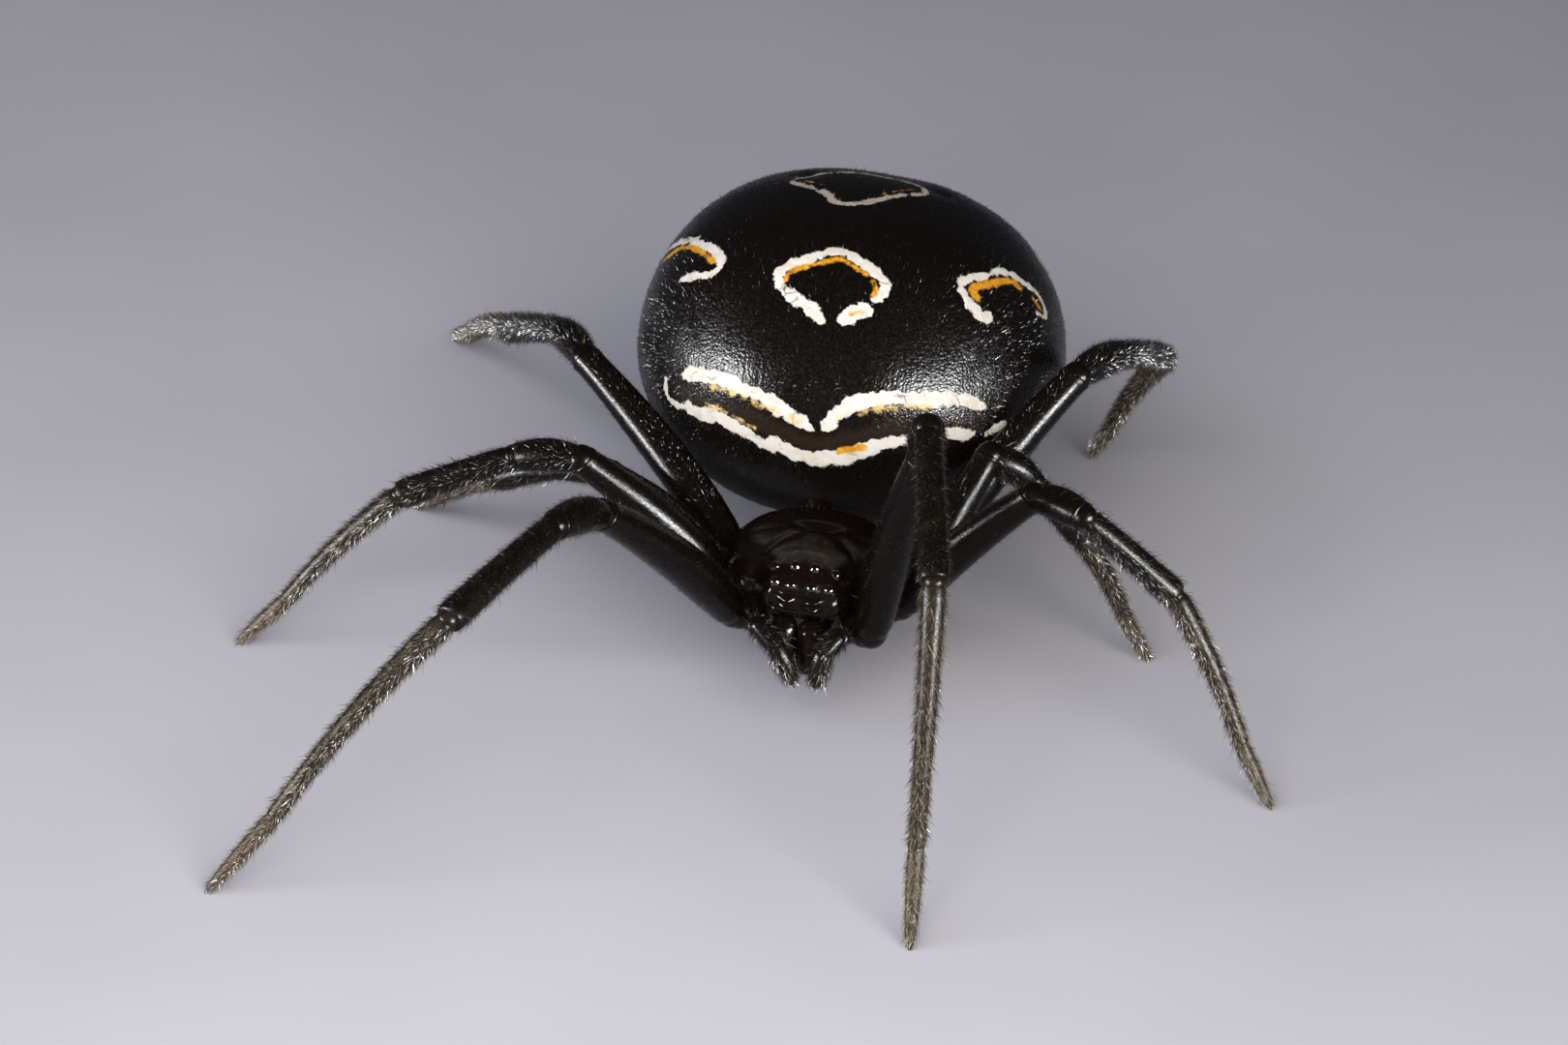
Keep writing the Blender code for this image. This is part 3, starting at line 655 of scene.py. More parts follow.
def abdomen_colours(add):
    """The abdomen's black, its chalky white lines and their orange inner edges."""
    ragged = patches(add, 0.2, -0.5, 0.5)
    fine = patches(add, 0.05, -0.5, 0.5, detail=2.0)

    def mark(name, ragged_share, fine_share, outer, inner):
        edge = add(VALUE, output="Fac", attribute_name=name)
        for unevenness, share in ((ragged, ragged_share), (fine, fine_share)):
            edge = add(MATH, (unevenness, share, edge), operation="MULTIPLY_ADD")
        return add(RAMP, (edge, outer, inner))

    white = mark("white_edge", 0.22, 0.05, 0.012, -0.012)
    orange = mark("orange_edge", 0.14, 0.05, 0.02, -0.03)
    ochre = mark("ochre_edge", 0.34, 0.08, 0.03, -0.06)
    # Here and there the chalk is cracked into plates half a millimetre wide.
    place = add(PLACE, output="Object")
    drift = add(NOISE, {"Vector": place, "Scale": pattern_scale(0.2), "Detail": 2.0}, "Color")
    bent = add(VECTOR, (drift, (0.12 * MM,) * 3, place), operation="MULTIPLY_ADD")
    plates = {"Vector": bent, "Scale": pattern_scale(0.5)}
    crack = add(CELLS, plates, "Distance", feature="DISTANCE_TO_EDGE")
    healed = patches(add, 0.6, ends=(0.34, 0.42), detail=1.0)
    whole = add(MATH, (add(RAMP, (crack, 0.012, 0.035)), healed), operation="MAXIMUM")
    shown = add(RAMP, (whole, 0.0, 1.0, 0.35, 1.0))
    white = add(MATH, (white, shown), operation="MULTIPLY")
    # The white lines near the top of the abdomen are drawn greyer.
    greyer_near_top = add(VALUE, output="Fac", attribute_name="greyer_near_top")
    creamy = patches(add, 0.25, ends=(0.45, 0.7))
    chalk = layered(add, CHALK_WHITE, (creamy, CREAM_WHITE), (greyer_near_top, GREYER_TOP_WHITE))
    pigment = layered(add, ORANGE_PIGMENT, (patches(add, 0.12, ends=(0.4, 0.7)), BRIGHT_ORANGE))
    between = add(RAMP, (add(VALUE, output="Fac", attribute_name="between_bands"), 0.1, -0.1))
    colour = layered(
        add, BLACK_CUTICLE, (between, BAND_BLACK), (white, chalk), (ochre, OCHRE_PIGMENT),
        (orange, pigment),
    )
    marked = add(MATH, (white, orange), operation="MAXIMUM")
    return colour, add(MATH, (marked, ochre), operation="MAXIMUM")


def abdomen_cuticle():
    """Black arthropod cuticle, hard and shiny, over chalky guanine that shows as white."""
    material, add = new_material("abdomen_cuticle_with_guanine_lines")
    colour, marked = abdomen_colours(add)
    # The black is a gloss broken by fine grain, and the white is duller, like dried chalk. The
    # underside is duller too.
    roughness = patches(add, 0.06, 0.13, 0.40, (0.3, 0.7))
    below = add(VALUE, output="Fac", attribute_name="below")
    for share, duller in ((below, 0.35), (marked, 0.25)):
        roughness = add(MATH, (share, duller, roughness), operation="MULTIPLY_ADD")
    # The pores of the hairs leave pebbles, drawn coarser than real at 0.055 mm so that they
    # still show, which break the light up.
    place = add(PLACE, output="Object")
    cells = {"Vector": place, "Scale": pattern_scale(0.055), "Smoothness": 0.4}
    hollows = add(CELLS, cells, "Distance", feature="SMOOTH_F1")
    pebbles = add(MATH, (1.0, hollows), operation="SUBTRACT")
    grain = patches(add, 0.13, detail=4.0)
    # Fine folds run from the front to the rear, and draw the highlights out into streaks.
    drawn_out = add(VECTOR, (place, (1.0, 0.16, 0.16)), operation="MULTIPLY")
    folds = patches(add, 0.09, detail=2.0, place=drawn_out)
    normal = relief(add, (pebbles, 0.008), (grain, 0.007), (folds, 0.011), (marked, 0.010))
    return painted(material, {
        "Base Color": colour, "Roughness": roughness, "Specular IOR Level": 0.10,
        "Normal": normal,
    })


def carapace_cuticle():
    """Brown-black cuticle of the head, smooth and glossy, with a red tint in the light."""
    material, add = new_material("carapace_cuticle_brown_black")
    tint = patches(add, 0.5, ends=(0.35, 0.7))
    membrane = add(VALUE, output="Fac", attribute_name="membrane")
    pits, waves = patches(add, 0.035), patches(add, 0.16, detail=2.0)
    return painted(material, {
        "Base Color": layered(
            add, BLACK_CUTICLE, (tint, BROWN_BLACK_CUTICLE), (membrane, JOINT_SKIN)
        ),
        "Roughness": patches(add, 0.1, 0.13, 0.25, (0.3, 0.7)),
        "Specular IOR Level": 0.14,
        "Normal": relief(add, (pits, 0.003), (waves, 0.004)),
    })


def leg_cuticle():
    """Black cuticle of the legs, glossy on the thigh and duller and browner to the foot."""
    material, add = new_material("leg_cuticle_black_to_brown")
    zone, membrane = (
        add(VALUE, output="Fac", attribute_name=name) for name in ("zone", "membrane")
    )
    mottled = add(MATH, (patches(add, 0.3, -0.5, 0.5), 0.7, zone), operation="MULTIPLY_ADD")
    shin, foot = (add(RAMP, (mottled, *ends)) for ends in ((0.15, 0.5), (0.4, 0.95)))
    grain = patches(add, 0.06, 0.14, 0.34, (0.3, 0.7))
    return painted(material, {
        "Base Color": layered(
            add, BLACK_CUTICLE, (shin, SHIN_BROWN), (foot, FOOT_BROWN), (membrane, JOINT_SKIN)
        ),
        "Roughness": add(MATH, (zone, 0.2, grain), operation="MULTIPLY_ADD"),
        "Specular IOR Level": 0.085,
        "Normal": relief(add, (patches(add, 0.04), 0.005)),
    })


def abdomen_hair():
    """Fine dark bristle, which takes the colour of the cuticle that it grows from."""
    material, add = new_material("abdomen_bristle")
    colour, marked = abdomen_colours(add)
    taken = add(MATH, (marked, 0.85), operation="MULTIPLY")
    return painted(material, {
        "Base Color": layered(add, DARK_HAIR, (taken, colour)),
        "Roughness": 0.34,
        "Specular IOR Level": 0.3,
    })


def leg_hair():
    """Stiff bristle, black on the thigh, with more and more pale ones towards the foot."""
    material, add = new_material("leg_bristle")
    zone, tone = (
        add(VALUE, output="Fac", attribute_name=name) for name in ("zone", "hair_tone")
    )
    paler = add(MATH, (zone, 0.55, tone), operation="MULTIPLY_ADD")
    return painted(material, {
        "Base Color": layered(add, DARK_HAIR, (add(RAMP, (paler, 0.9, 1.15)), PALE_HAIR)),
        "Roughness": 0.32,
        "Specular IOR Level": 0.5,
    })


def eye_lens():
    """The clear wet-looking lens of a spider's eye, black with depth behind it."""
    material, add = new_material("eye_lens_polished")
    ring = add(VALUE, output="Fac", attribute_name="ring")
    return painted(material, {
        "Base Color": layered(add, EYE_BLACK, (ring, EYE_RING)),
        "Roughness": 0.05,
        "Coat Weight": 0.6,
        "IOR": 1.5,
    })


def horn():
    """Horn of the claws and fangs, dark brown and polished."""
    material, add = new_material("claw_horn_dark")
    tone = patches(add, 0.06, ends=(0.3, 0.7))
    return painted(material, {
        "Base Color": layered(add, HORN_BROWN, (tone, BLACK_CUTICLE)), "Roughness": 0.22,
    })


def floor_board():
    """Matt pale grey studio board, nearly even, with no gloss and soft wide clouds of tone."""
    material, add = new_material("studio_board_matt")
    tone = patches(add, 9.0, ends=(0.3, 0.7), detail=2.0)
    return painted(material, {
        "Base Color": layered(add, FLOOR_GREY, (tone, FLOOR_SHADE)),
        "Roughness": 0.95,
        "Specular IOR Level": 0.0,
    })


def distance_to(points, spots):
    """How far each point is outside the nearest of some round spots, negative inside one."""
    nearest = np.full(len(points), 9.0)
    for spot, reach in spots:
        nearest = np.minimum(nearest, np.linalg.norm(points - spot, axis=1) - reach)
    return nearest


def line_spots(lines):
    """The spots that draw some lines over the abdomen, uneven in width and finer at the ends."""
    for half_width, stops in lines:
        stops = np.asarray(stops, float)
        run = smooth_through(stops, 14 * len(stops))
        line = abdomen_surface(*abdomen_direction(run[:, 0], run[:, 1]))
        place = np.linspace(0.0, 1.0, len(line))
        ends = np.minimum(1.0, np.minimum(place, 1.0 - place) * 9.0 + 0.55)
        uneven = 1.0 + 0.14 * np.sin(place * 17.0 + stops[0, 0])
        uneven = uneven + 0.10 * np.sin(place * 9.0 * len(stops) + stops[0, 1])
        yield from zip(line, half_width * ends * uneven)


def under_spots():
    """The spots that draw the two bars of the underside."""
    for half_width, stops in UNDER_BARS:
        run = smooth_through(stops, 40)
        tilt = pi - np.radians(np.hypot(run[:, 0], run[:, 1]))
        for spot in abdomen_surface(tilt, np.arctan2(run[:, 1], run[:, 0])):
            yield spot, half_width


def rear_lines():
    """The white rings of the spots behind, and the orange inside each, as lines."""
    white, orange = [], []
    inward, finer = 0.66, 0.65
    for half_width, (long, wide), (right, rear), paired in REAR_SPOTS:
        for side in ((-1.0, 1.0) if paired else (1.0,)):
            middle = np.array((side * right, rear))
            ring = []
            for step in range(10):
                turn = 2.0 * pi * step / 9.0
                wobble = 1.0 + 0.12 * sin(3.0 * turn + right)
                ring.append(middle + wobble * np.array((long * cos(turn), wide * sin(turn))))
            white.append((half_width, ring))
            inner = [middle + inward * (place - middle) for place in ring[1:7]]
            orange.append((half_width * finer, inner))
    return white, orange


def make_abdomen():
    """The abdomen's skin, with its shallow dents, its unwrap and the distances to its marks."""
    ball = bmesh.new()
    bmesh.ops.create_icosphere(ball, subdivisions=ABDOMEN_SPLITS, radius=1.0)
    spots = unit([vertex.co for vertex in ball.verts])
    faces = [[vertex.index for vertex in face.verts] for face in ball.faces]
    ball.free()
    tilt = np.arccos(np.clip(spots[:, 2], -1.0, 1.0))
    turn = np.arctan2(spots[:, 1], spots[:, 0])
    plain = abdomen_surface(tilt, turn)
    # The place of each point in degrees from the top, which is its place on the unwrap too.
    degrees_down = np.degrees(tilt)
    right = degrees_down * np.sin(turn + pi / 2.0)
    rear = -degrees_down * np.cos(turn + pi / 2.0)
    unwrap = 0.5 + np.stack((right, rear), -1) / 380.0
    dent = -lumpy(plain, 0.025, 1.3, 1)
    for depth, (out, width), (back, length) in ABDOMEN_DENTS:
        for side in ((-1.0, 1.0) if out else (1.0,)):
            dent = dent + depth * bump(right - side * out, width) * bump(rear - back, length)
    points = plain - unit(plain - ABDOMEN_CENTRE) * dent[:, None]
    white, orange = rear_lines()
    # Fewer hairs stand round the stalk.
    bare = bump(np.hypot(right, rear + 106.0), 24.0)
    skin = Skin()
    corners = [[tuple(unwrap[index]) for index in face] for face in faces]
    skin.add(points, np.array(faces), corners, {
        "white_edge": distance_to(plain, line_spots((*WHITE_LINES, *white))),
        "orange_edge": distance_to(
            plain, (*line_spots((*ORANGE_LINES, *orange)), *under_spots())
        ),
        "ochre_edge": distance_to(plain, line_spots(OCHRE_LINES)),
        "between_bands": distance_to(plain, line_spots((BAND_MIDDLE,))),
        "lie": np.broadcast_to(unit((0.0, 1.0, -0.35)), plain.shape),
        "hair_density": 95.0 * (1.0 - 0.7 * bare),
        "hair_length": 0.085 + 0.03 * np.clip(rear / 90.0, 0.0, 1.0),
        "zone": np.zeros_like(right),
        "below": np.clip((degrees_down - 98.0) / 18.0, 0.0, 1.0),
        # The white lines near the top of the abdomen are drawn greyer.
        "greyer_near_top": 0.75 * bump(np.hypot(right + 3.0, rear - 10.0), 22.0),
    })
    return skin


def carapace_rings(rows=110, sides=120):
    """The carapace with the sternum under it, with its pit, its grooves and its raised head."""
    stations = smooth_through(CARAPACE_STATIONS, rows)
    forward, half_width, top, widest, under = stations.T
    angle = np.linspace(0.0, 2.0 * pi, sides, endpoint=False)
    rise = np.sin(angle)[None]
    height = np.where(rise > 0.0, (top - widest)[:, None], (widest - under)[:, None])
    across = signed_power(np.cos(angle), CARAPACE_FLANK_POWER)
    across = np.maximum(half_width, 0.02)[:, None] * across
    up = widest[:, None] + height * signed_power(rise, CARAPACE_CROWN_POWER)
    ahead = np.repeat(forward[:, None], sides, axis=1)
    upper, lower = np.clip(rise * 2.0, 0.0, 1.0), np.clip(-rise * 2.0, 0.0, 1.0)
    # The pit in the middle of the back.
    sag = 0.16 * bump(across, 0.36) * bump(ahead + 0.50, 0.14)
    for side in SIDE_SIGN.values():
        x = across * side
        # The groove that sets the head off from the thorax runs from the pit to the margin.
        course = 0.28 + 0.62 * np.clip(ahead + 0.35, 0.0, 1.6)
        sag = sag + 0.05 * bump(x - course, 0.13) * bump(ahead - 0.35, 0.62)
        # Three shallow furrows fan out from the pit on each side.
        for slope in (0.15, -0.5, -1.3):
            furrow = ahead + 0.40 - slope * (x - 0.3)
            sag = sag + 0.018 * bump(furrow, 0.10) * bump(x - 1.0, 0.45)
    up = up - sag * upper
    # A thin rim runs round the margin.
    rim = bump(rise - 0.02, 0.07) * np.clip(1.2 - ahead, 0.0, 1.0) * 0.03
    across = across * (1.0 + rim)
    # The sternum is flat with a low keel.
    up = up + lower * 0.03 * bump(across, 0.5)
    # The face has a groove under the front eyes, a swelling each side below it, and a rim.
    face = np.clip((ahead - 1.72) / 0.16, 0.0, 1.0)
    swelling = bump(across - 0.26, 0.14) + bump(across + 0.26, 0.14)
    ahead = ahead + face * (
        0.10 * swelling * bump(up - 0.91, 0.065) + 0.075 * swelling * bump(up - 0.74, 0.045)
        - 0.035 * bump(across, 0.55) * bump(up - 1.035, 0.045) + 0.035 * bump(up - 0.61, 0.04)
    )
    points = np.stack((across, -ahead, up), axis=-1)
    core = np.array((0.0, -1.15, 0.85))
    uneven = face * lumpy(points, 0.035, 0.15, 4) + lumpy(points, 0.012, 0.5, 5)
    points = points + unit(points - core) * uneven[..., None]
    # Each eye sits on a low knob.
    for out, forward, level, width in EYES.values():
        for side in SIDE_SIGN.values():
            away = np.linalg.norm(points - np.array((side * out, -forward, level)), axis=-1)
            knob = 0.05 * bump(away, width * 0.75)
            points = points + unit(points - core) * knob[..., None]
    return CARAPACE_CENTRE + points


def leg_root(side, pair):
    """Where a coxa starts inside the body, and where the leg leaves it."""
    out, forward = COXA_OUTER[pair]
    root = CARAPACE_CENTRE + np.array((side * out, -forward, ROOT_LEVEL[pair]))
    out, forward = COXA_INNER[pair]
    return CARAPACE_CENTRE + np.array((side * out, -forward, COXA_LEVEL)), root


def add_segment(skin, start, end, outline, scale, sides=28, **more):
    """One segment of a limb in a skin, with its hair lying towards its tip."""
    shape = {key: more.pop(key) for key in ("bow", "rows") if key in more}
    rings, fractions, along = outline_rings(start, end, outline, scale, sides, **shape)
    # A foot stands flat where it meets the floor.
    rings[..., 2] = np.maximum(rings[..., 2], 0.0)
    values = {"lie": along, "zone": 0.0, "membrane": 0.0, "hair_density": 0.0, "hair_length": 0.1}
    values.update(more)
    if "hair_density" in more:
        inside = np.clip(np.minimum(fractions, 1.0 - fractions) * 30.0, 0.0, 1.0)
        values["hair_density"] = more["hair_density"] * inside
    skin.add_rings(rings, **values)


def add_joint(skin, centre, radius, zone=0.0):
    """The round cuticle that closes a joint, with soft brown skin on its underside."""
    rings = ball_rings(centre, radius)
    rings[..., 2] = np.maximum(rings[..., 2], 0.0)
    soft = np.clip((np.arange(len(rings)) - 7.0) / 4.0, 0.0, 0.8)
    skin.add_rings(
        rings, lie=np.array(UP), zone=zone, membrane=soft, hair_density=0.0, hair_length=0.1
    )


def make_head():
    """The carapace, sternum, coxae, mouthparts and the stalk to the abdomen in one skin."""
    skin = Skin()
    skin.add_rings(
        carapace_rings(), lie=unit((0.0, -1.0, 0.2)), zone=0.0, membrane=0.0,
        hair_density=16.0, hair_length=0.13,
    )
    hair = {"hair_density": 45.0, "hair_length": 0.12}
    for side in SIDE_SIGN.values():
        for pair, stout in LEG_STOUTNESS.items():
            inner, root = leg_root(side, pair)
            add_segment(skin, inner, root, COXA_OUTLINE, stout, rows=40, **hair)
            add_joint(skin, root, ROOT_JOINT_RADIUS * stout)
    for out, stout, length in MOUTH_LOBES:
        start = CARAPACE_CENTRE + np.array((out, -0.86, -0.35))
        end = start + unit(MOUTH_WAY) * length
        add_segment(skin, start, end, MOUTH_OUTLINE, stout, rows=24, hair_density=70.0)
    entry = abdomen_surface(np.radians(STALK_ENTRY_TILT), -pi / 2.0)
    inside = entry + unit(entry - STALK_START) * 0.25
    add_segment(skin, STALK_START, inside, STALK_OUTLINE, 1.0, rows=20)
    return skin


def leg_joints(side, pair, pose):
    """The joints of one leg from the root of the femur to the foot on the floor."""
    lengths = LEG_LENGTHS[pair]
    *upper, shin_heading = pose
    joints = [leg_root(side, pair)[1]]
    for length, (heading, pitch) in zip(lengths, upper):
        joints.append(joints[-1] + compass(side, heading, pitch) * length)
    shin_pitch = -degrees(asin(joints[-1][2] / sum(lengths[3:])))
    shin = compass(side, shin_heading, shin_pitch)
    for length in lengths[3:]:
        joints.append(joints[-1] + shin * length)
    return joints


def make_leg(side, pair, pose):
    """One leg's skin from the femur to the tarsus, with soft skin inside its joints."""
    skin = Skin()
    joints = leg_joints(side, pair, pose)
    joints[-1] = joints[-1] + np.array(UP) * FOOT_RISE
    for index, segment in enumerate(SEGMENTS):
        stout = LEG_STOUTNESS[pair] if index < 3 else 0.5 + 0.5 * LEG_STOUTNESS[pair]
        density, length = SEGMENT_HAIR[segment]
        near, far = SEGMENT_ZONES[segment]
        rows = SEGMENT_ROWS[segment]
        add_segment(
            skin, joints[index], joints[index + 1], OUTLINES[segment], stout,
            bow=SEGMENT_BOW[segment], rows=rows, zone=np.linspace(near, far, rows),
            hair_density=density, hair_length=length,
        )
        if segment in JOINT_RADIUS:
            add_joint(skin, joints[index], JOINT_RADIUS[segment] * stout, near)
    return skin, joints


def make_palp(side):
    """One palp's skin, four stout segments that end in a pointed foot."""
    skin = Skin()
    joints = [
        CARAPACE_CENTRE + np.array((side * out + sway, -forward, up))
        for (out, forward, up), sway in zip(PALP_JOINTS, PALP_SWAY)
    ]
    for index, (outline, (density, length)) in enumerate(zip(PALP_OUTLINES, PALP_HAIR)):
        add_segment(
            skin, joints[index], joints[index + 1], outline, 1.0, sides=22, rows=26,
            zone=0.03 + 0.06 * index, hair_density=density, hair_length=length,
        )
    return skin, joints


def make_jaws():
    """The two jaws under the face, and their folded fangs as a piece of their own."""
    jaws, fangs = Skin(), Skin()
    for side in SIDE_SIGN.values():
        base = CHELICERA_BASE * np.array((side, 1.0, 1.0))
        way = compass(side, CHELICERA_SPREAD, CHELICERA_PITCH)
        tip = base + way * CHELICERA_LENGTH
        add_segment(
            jaws, base, tip, CHELICERA_OUTLINE, 1.0, sides=32, rows=40, bow=0.05,
            hair_density=55.0, hair_length=0.12,
        )
        inwards, back, down = FANG_DIRECTION
        fang_way = unit(np.array((-side * inwards, back, down)))
        steps = np.linspace(0.0, 1.0, 14)[:, None]
        hook = np.array((-side * 0.10, 0.08, 0.05))
        centres = tip - way * 0.12 + fang_way * FANG_LENGTH * 0.9 * steps + hook * steps ** 2
        fangs.add_rings(sweep(centres, 0.095 * (1.0 - steps[:, 0]) ** 0.8 + 0.006, 14))
    return jaws, fangs


def make_eye(surface, name, side):
    """One eye, a small glossy dome in a narrow rim, set in the skin of the head."""
    out, forward, up, width = EYES[name]
    aim_at = CARAPACE_CENTRE + np.array((side * out, -forward, up)) + SHIFT
    place, normal, *_ = surface.find_nearest(Vector(aim_at) * MM)
    place = np.array(place) / MM - SHIFT
    spread, height = np.array(EYE_DOME).T[..., None, None]
    spokes = spokes_round(*frame_across(np.array(normal)), 28)
    rings = place + width / 2.0 * (spokes * spread + np.array(normal) * height)
    skin = Skin()
    skin.add_rings(rings, ring=np.clip(1.0 - height[:, 0, 0] * 7.0, 0.0, 1.0))
    return skin


def make_spinnerets():
    """The short base and its six spinnerets below the rear of the abdomen."""
    skin = Skin()
    tilt, step = radians(SPINNERET_TILT), 0.02
    place = abdomen_surface(tilt, pi / 2.0)
    down = abdomen_surface(tilt + step, pi / 2.0) - abdomen_surface(tilt - step, pi / 2.0)
    rearward = -unit(down)
    normal = unit(np.cross(down, (-1.0, 0.0, 0.0)))
    if normal[2] > 0.0:
        normal = -normal
    base = place + normal * SPINNERET_GAP
    add_segment(skin, base, base + normal * 0.38, CUSHION_OUTLINE, 1.0, hair_density=60.0)
    inward, forward = SPINNERET_LEAN
    for out, back, width, length in SPINNERET_PAIRS:
        for side in SIDE_SIGN.values():
            sideways = np.array((side, 0.0, 0.0))
            root = base + sideways * out + rearward * back + normal * 0.2
            way = unit(normal - sideways * inward - rearward * back * forward)
            add_segment(
                skin, root, root + way * length, SPINNERET_OUTLINE, width, sides=22, rows=30,
                zone=0.3, hair_density=210.0, hair_length=0.11,
            )
    return skin


def add_claw(skin, tip, along, lean):
    """One curved claw at the tip of a foot, which leans to the side by so much."""
    steps = np.linspace(0.0, 1.0, 10)[:, None]
    across = unit(np.cross(along, UP))
    centres = tip + steps * (along * 0.11 + across * lean) - steps ** 2 * np.array(UP) * 0.04
    centres[:, 2] = np.maximum(centres[:, 2], 0.016)
    skin.add_rings(sweep(centres, 0.024 * (1.0 - steps[:, 0]) + 0.003, 8))


def grow_hairs():
    """The tree that sets tapered, bent hairs over a skin and turns them to plain mesh."""
    tree = bpy.data.node_groups.new("grow_hairs", "GeometryNodeTree")
    for name, kind, value in (
        ("Skin", "NodeSocketGeometry", None),
        ("Slenderness", "NodeSocketFloat", 14.0),
        ("Bends", "NodeSocketInt", 2),
        ("Bend", "NodeSocketFloat", 0.25),
        ("Lean", "NodeSocketFloat", 0.9),
        ("Disorder", "NodeSocketFloat", 0.3),
        ("Long Share", "NodeSocketFloat", 0.03),
        ("Seed", "NodeSocketInt", SEED),
        ("Finish", "NodeSocketMaterial", None),
    ):
        socket = tree.interface.new_socket(name, in_out="INPUT", socket_type=kind)
        if value is not None:
            socket.default_value = value
    tree.interface.new_socket("Hairs", in_out="OUTPUT", socket_type="NodeSocketGeometry")
    given = tree.nodes.new("NodeGroupInput").outputs
    add = partial(add_node, tree)
    # What the skin says of its hairs at each point, and what each hair keeps of its own shape.
    density, length, lie, unwrap, strand = (
        add(NAMED, {"Name": name}, data_type=kind) for name, kind in (
            ("hair_density", "FLOAT"), ("hair_length", "FLOAT"), ("lie", "FLOAT_VECTOR"),
            ("unwrap", "FLOAT_VECTOR"), ("strand", "FLOAT_VECTOR"),
        )
    )
    *strays, tone, luck, size = (
        add("FunctionNodeRandomValue", {
            2: low, 3: high, "Seed": add(MATH, (given["Seed"], float(draw)), operation="ADD"),
        }, 1, data_type="FLOAT")
        for draw, (low, high) in enumerate(HAIR_DRAWS, 1)
    )
    points = add("GeometryNodeDistributePointsOnFaces", {
        "Mesh": given["Skin"], "Density": add(MATH, (density, MM * MM), operation="DIVIDE"),
        "Seed": given["Seed"],
    })
    # One hair is a cone of three sides, bent, leant over, and sunk a little into the skin. It
    # keeps its own width and length as its place on the patch.
    x, y, z = add("ShaderNodeSeparateXYZ", (add("GeometryNodeInputPosition"),)).node.outputs
    radius = add(MATH, (0.5, given["Slenderness"]), operation="DIVIDE")
    cone = add("GeometryNodeMeshCone", {
        "Vertices": 3, "Side Segments": given["Bends"], "Radius Top": 0.0,
        "Radius Bottom": radius, "Depth": 1.0,
    }, fill_type="NGON")
    across = add(MATH, (x, given["Slenderness"], 0.5), operation="MULTIPLY_ADD")
    kept = {"Geometry": cone, "Name": "strand", "Value": add(JOIN, (across, z))}
    cone = add(STORE, kept, data_type="FLOAT_VECTOR")
    arc = add(MATH, (z, 2.0), operation="POWER")
    arc = add(MATH, (arc, given["Bend"]), operation="MULTIPLY")
    cone = add(MOVE, {"Geometry": cone, "Offset": add(JOIN, {"X": arc, "Z": -0.06})})
    leant = add(TURN, (add(JOIN, {"Y": given["Lean"]}),))
    cone = add("GeometryNodeTransform", {"Geometry": cone, "Rotation": leant})
    # It stands on the skin's normal, lies along the skin, and strays from both by chance.
    facing = add(
        "FunctionNodeAxesToRotation", (points.node.outputs["Normal"], lie),
        primary_axis="Z", secondary_axis="X",
    )
    stray = {0: add(JOIN, strays), "Scale": given["Disorder"]}
    stray = add(TURN, (add(VECTOR, stray, operation="SCALE"),))
    facing = add("FunctionNodeRotateRotation", (facing, stray), rotation_space="LOCAL")
    kept = {"Geometry": points, "Name": "hair_tone", "Value": tone}
    points = add(STORE, kept, data_type="FLOAT")
    longer = add(MATH, (luck, given["Long Share"]), operation="LESS_THAN")
    size = add(MATH, (longer, 0.9, size), operation="MULTIPLY_ADD")
    length = add(MATH, (length, MM), operation="MULTIPLY")
    hairs = add("GeometryNodeInstanceOnPoints", {
        "Points": points, "Instance": cone, "Rotation": facing,
        "Scale": add(MATH, (size, length), operation="MULTIPLY"),
    })
    hairs = add("GeometryNodeRealizeInstances", (hairs,))
    above = add(JOIN, (x, y, add(MATH, (z, 0.004 * MM), operation="MAXIMUM")))
    hairs = add(MOVE, {"Geometry": hairs, "Position": above})
    # Each hair takes a small patch at its root's place on the skin's unwrap.
    centred = add(VECTOR, (strand, (0.5, 0.5, 0.0)), operation="SUBTRACT")
    patch = add(VECTOR, (centred, (PATCH, PATCH, 0.0), unwrap), operation="MULTIPLY_ADD")
    kept = {"Geometry": hairs, "Name": "OFBake", "Value": patch}
    hairs = add(STORE, kept, data_type="FLOAT2", domain="CORNER")
    hairs = add("GeometryNodeSetMaterial", {"Geometry": hairs, "Material": given["Finish"]})
    tree.links.new(hairs, tree.nodes.new("NodeGroupOutput").inputs["Hairs"])
    return tree


def grow_coat(name, skin_object, tree, material, **sizes):
    """The hairs of one skin as a mesh piece of its own."""
    modifier = skin_object.modifiers.new("coat", "NODES")
    modifier.node_group = tree
    sizes["Finish"] = material
    for item in tree.interface.items_tree:
        if item.name in sizes:
            modifier[item.identifier] = sizes[item.name]
    graph = bpy.context.evaluated_depsgraph_get()
    mesh = bpy.data.meshes.new_from_object(skin_object.evaluated_get(graph), depsgraph=graph)
    skin_object.modifiers.remove(modifier)
    mesh.name = name
    return add_object(name, mesh)


def place_piece(piece, slot, *nodes):
    """What every piece says: its body and the solids that it stands for. Its slot is not used."""
    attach(piece, "root")
    if nodes:
        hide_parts(*nodes)


def dress(name, slot, skin, nodes, finish, bristle, tree, **sizes):
    """A skin that stands for some solids, and the coat on it, as two pieces."""
    piece = skin.make(f"{name}_skin", finish)
    place_piece(piece, slot, *nodes)
    place_piece(grow_coat(f"{name}_coat", piece, tree, bristle, **sizes), slot)
    return piece


def aim(azimuth, elevation):
    """The unit direction from the spider to a place at an azimuth and an elevation."""
    turn, rise = radians(azimuth), radians(elevation)
    return Vector((sin(turn) * cos(rise), -cos(turn) * cos(rise), sin(rise)))


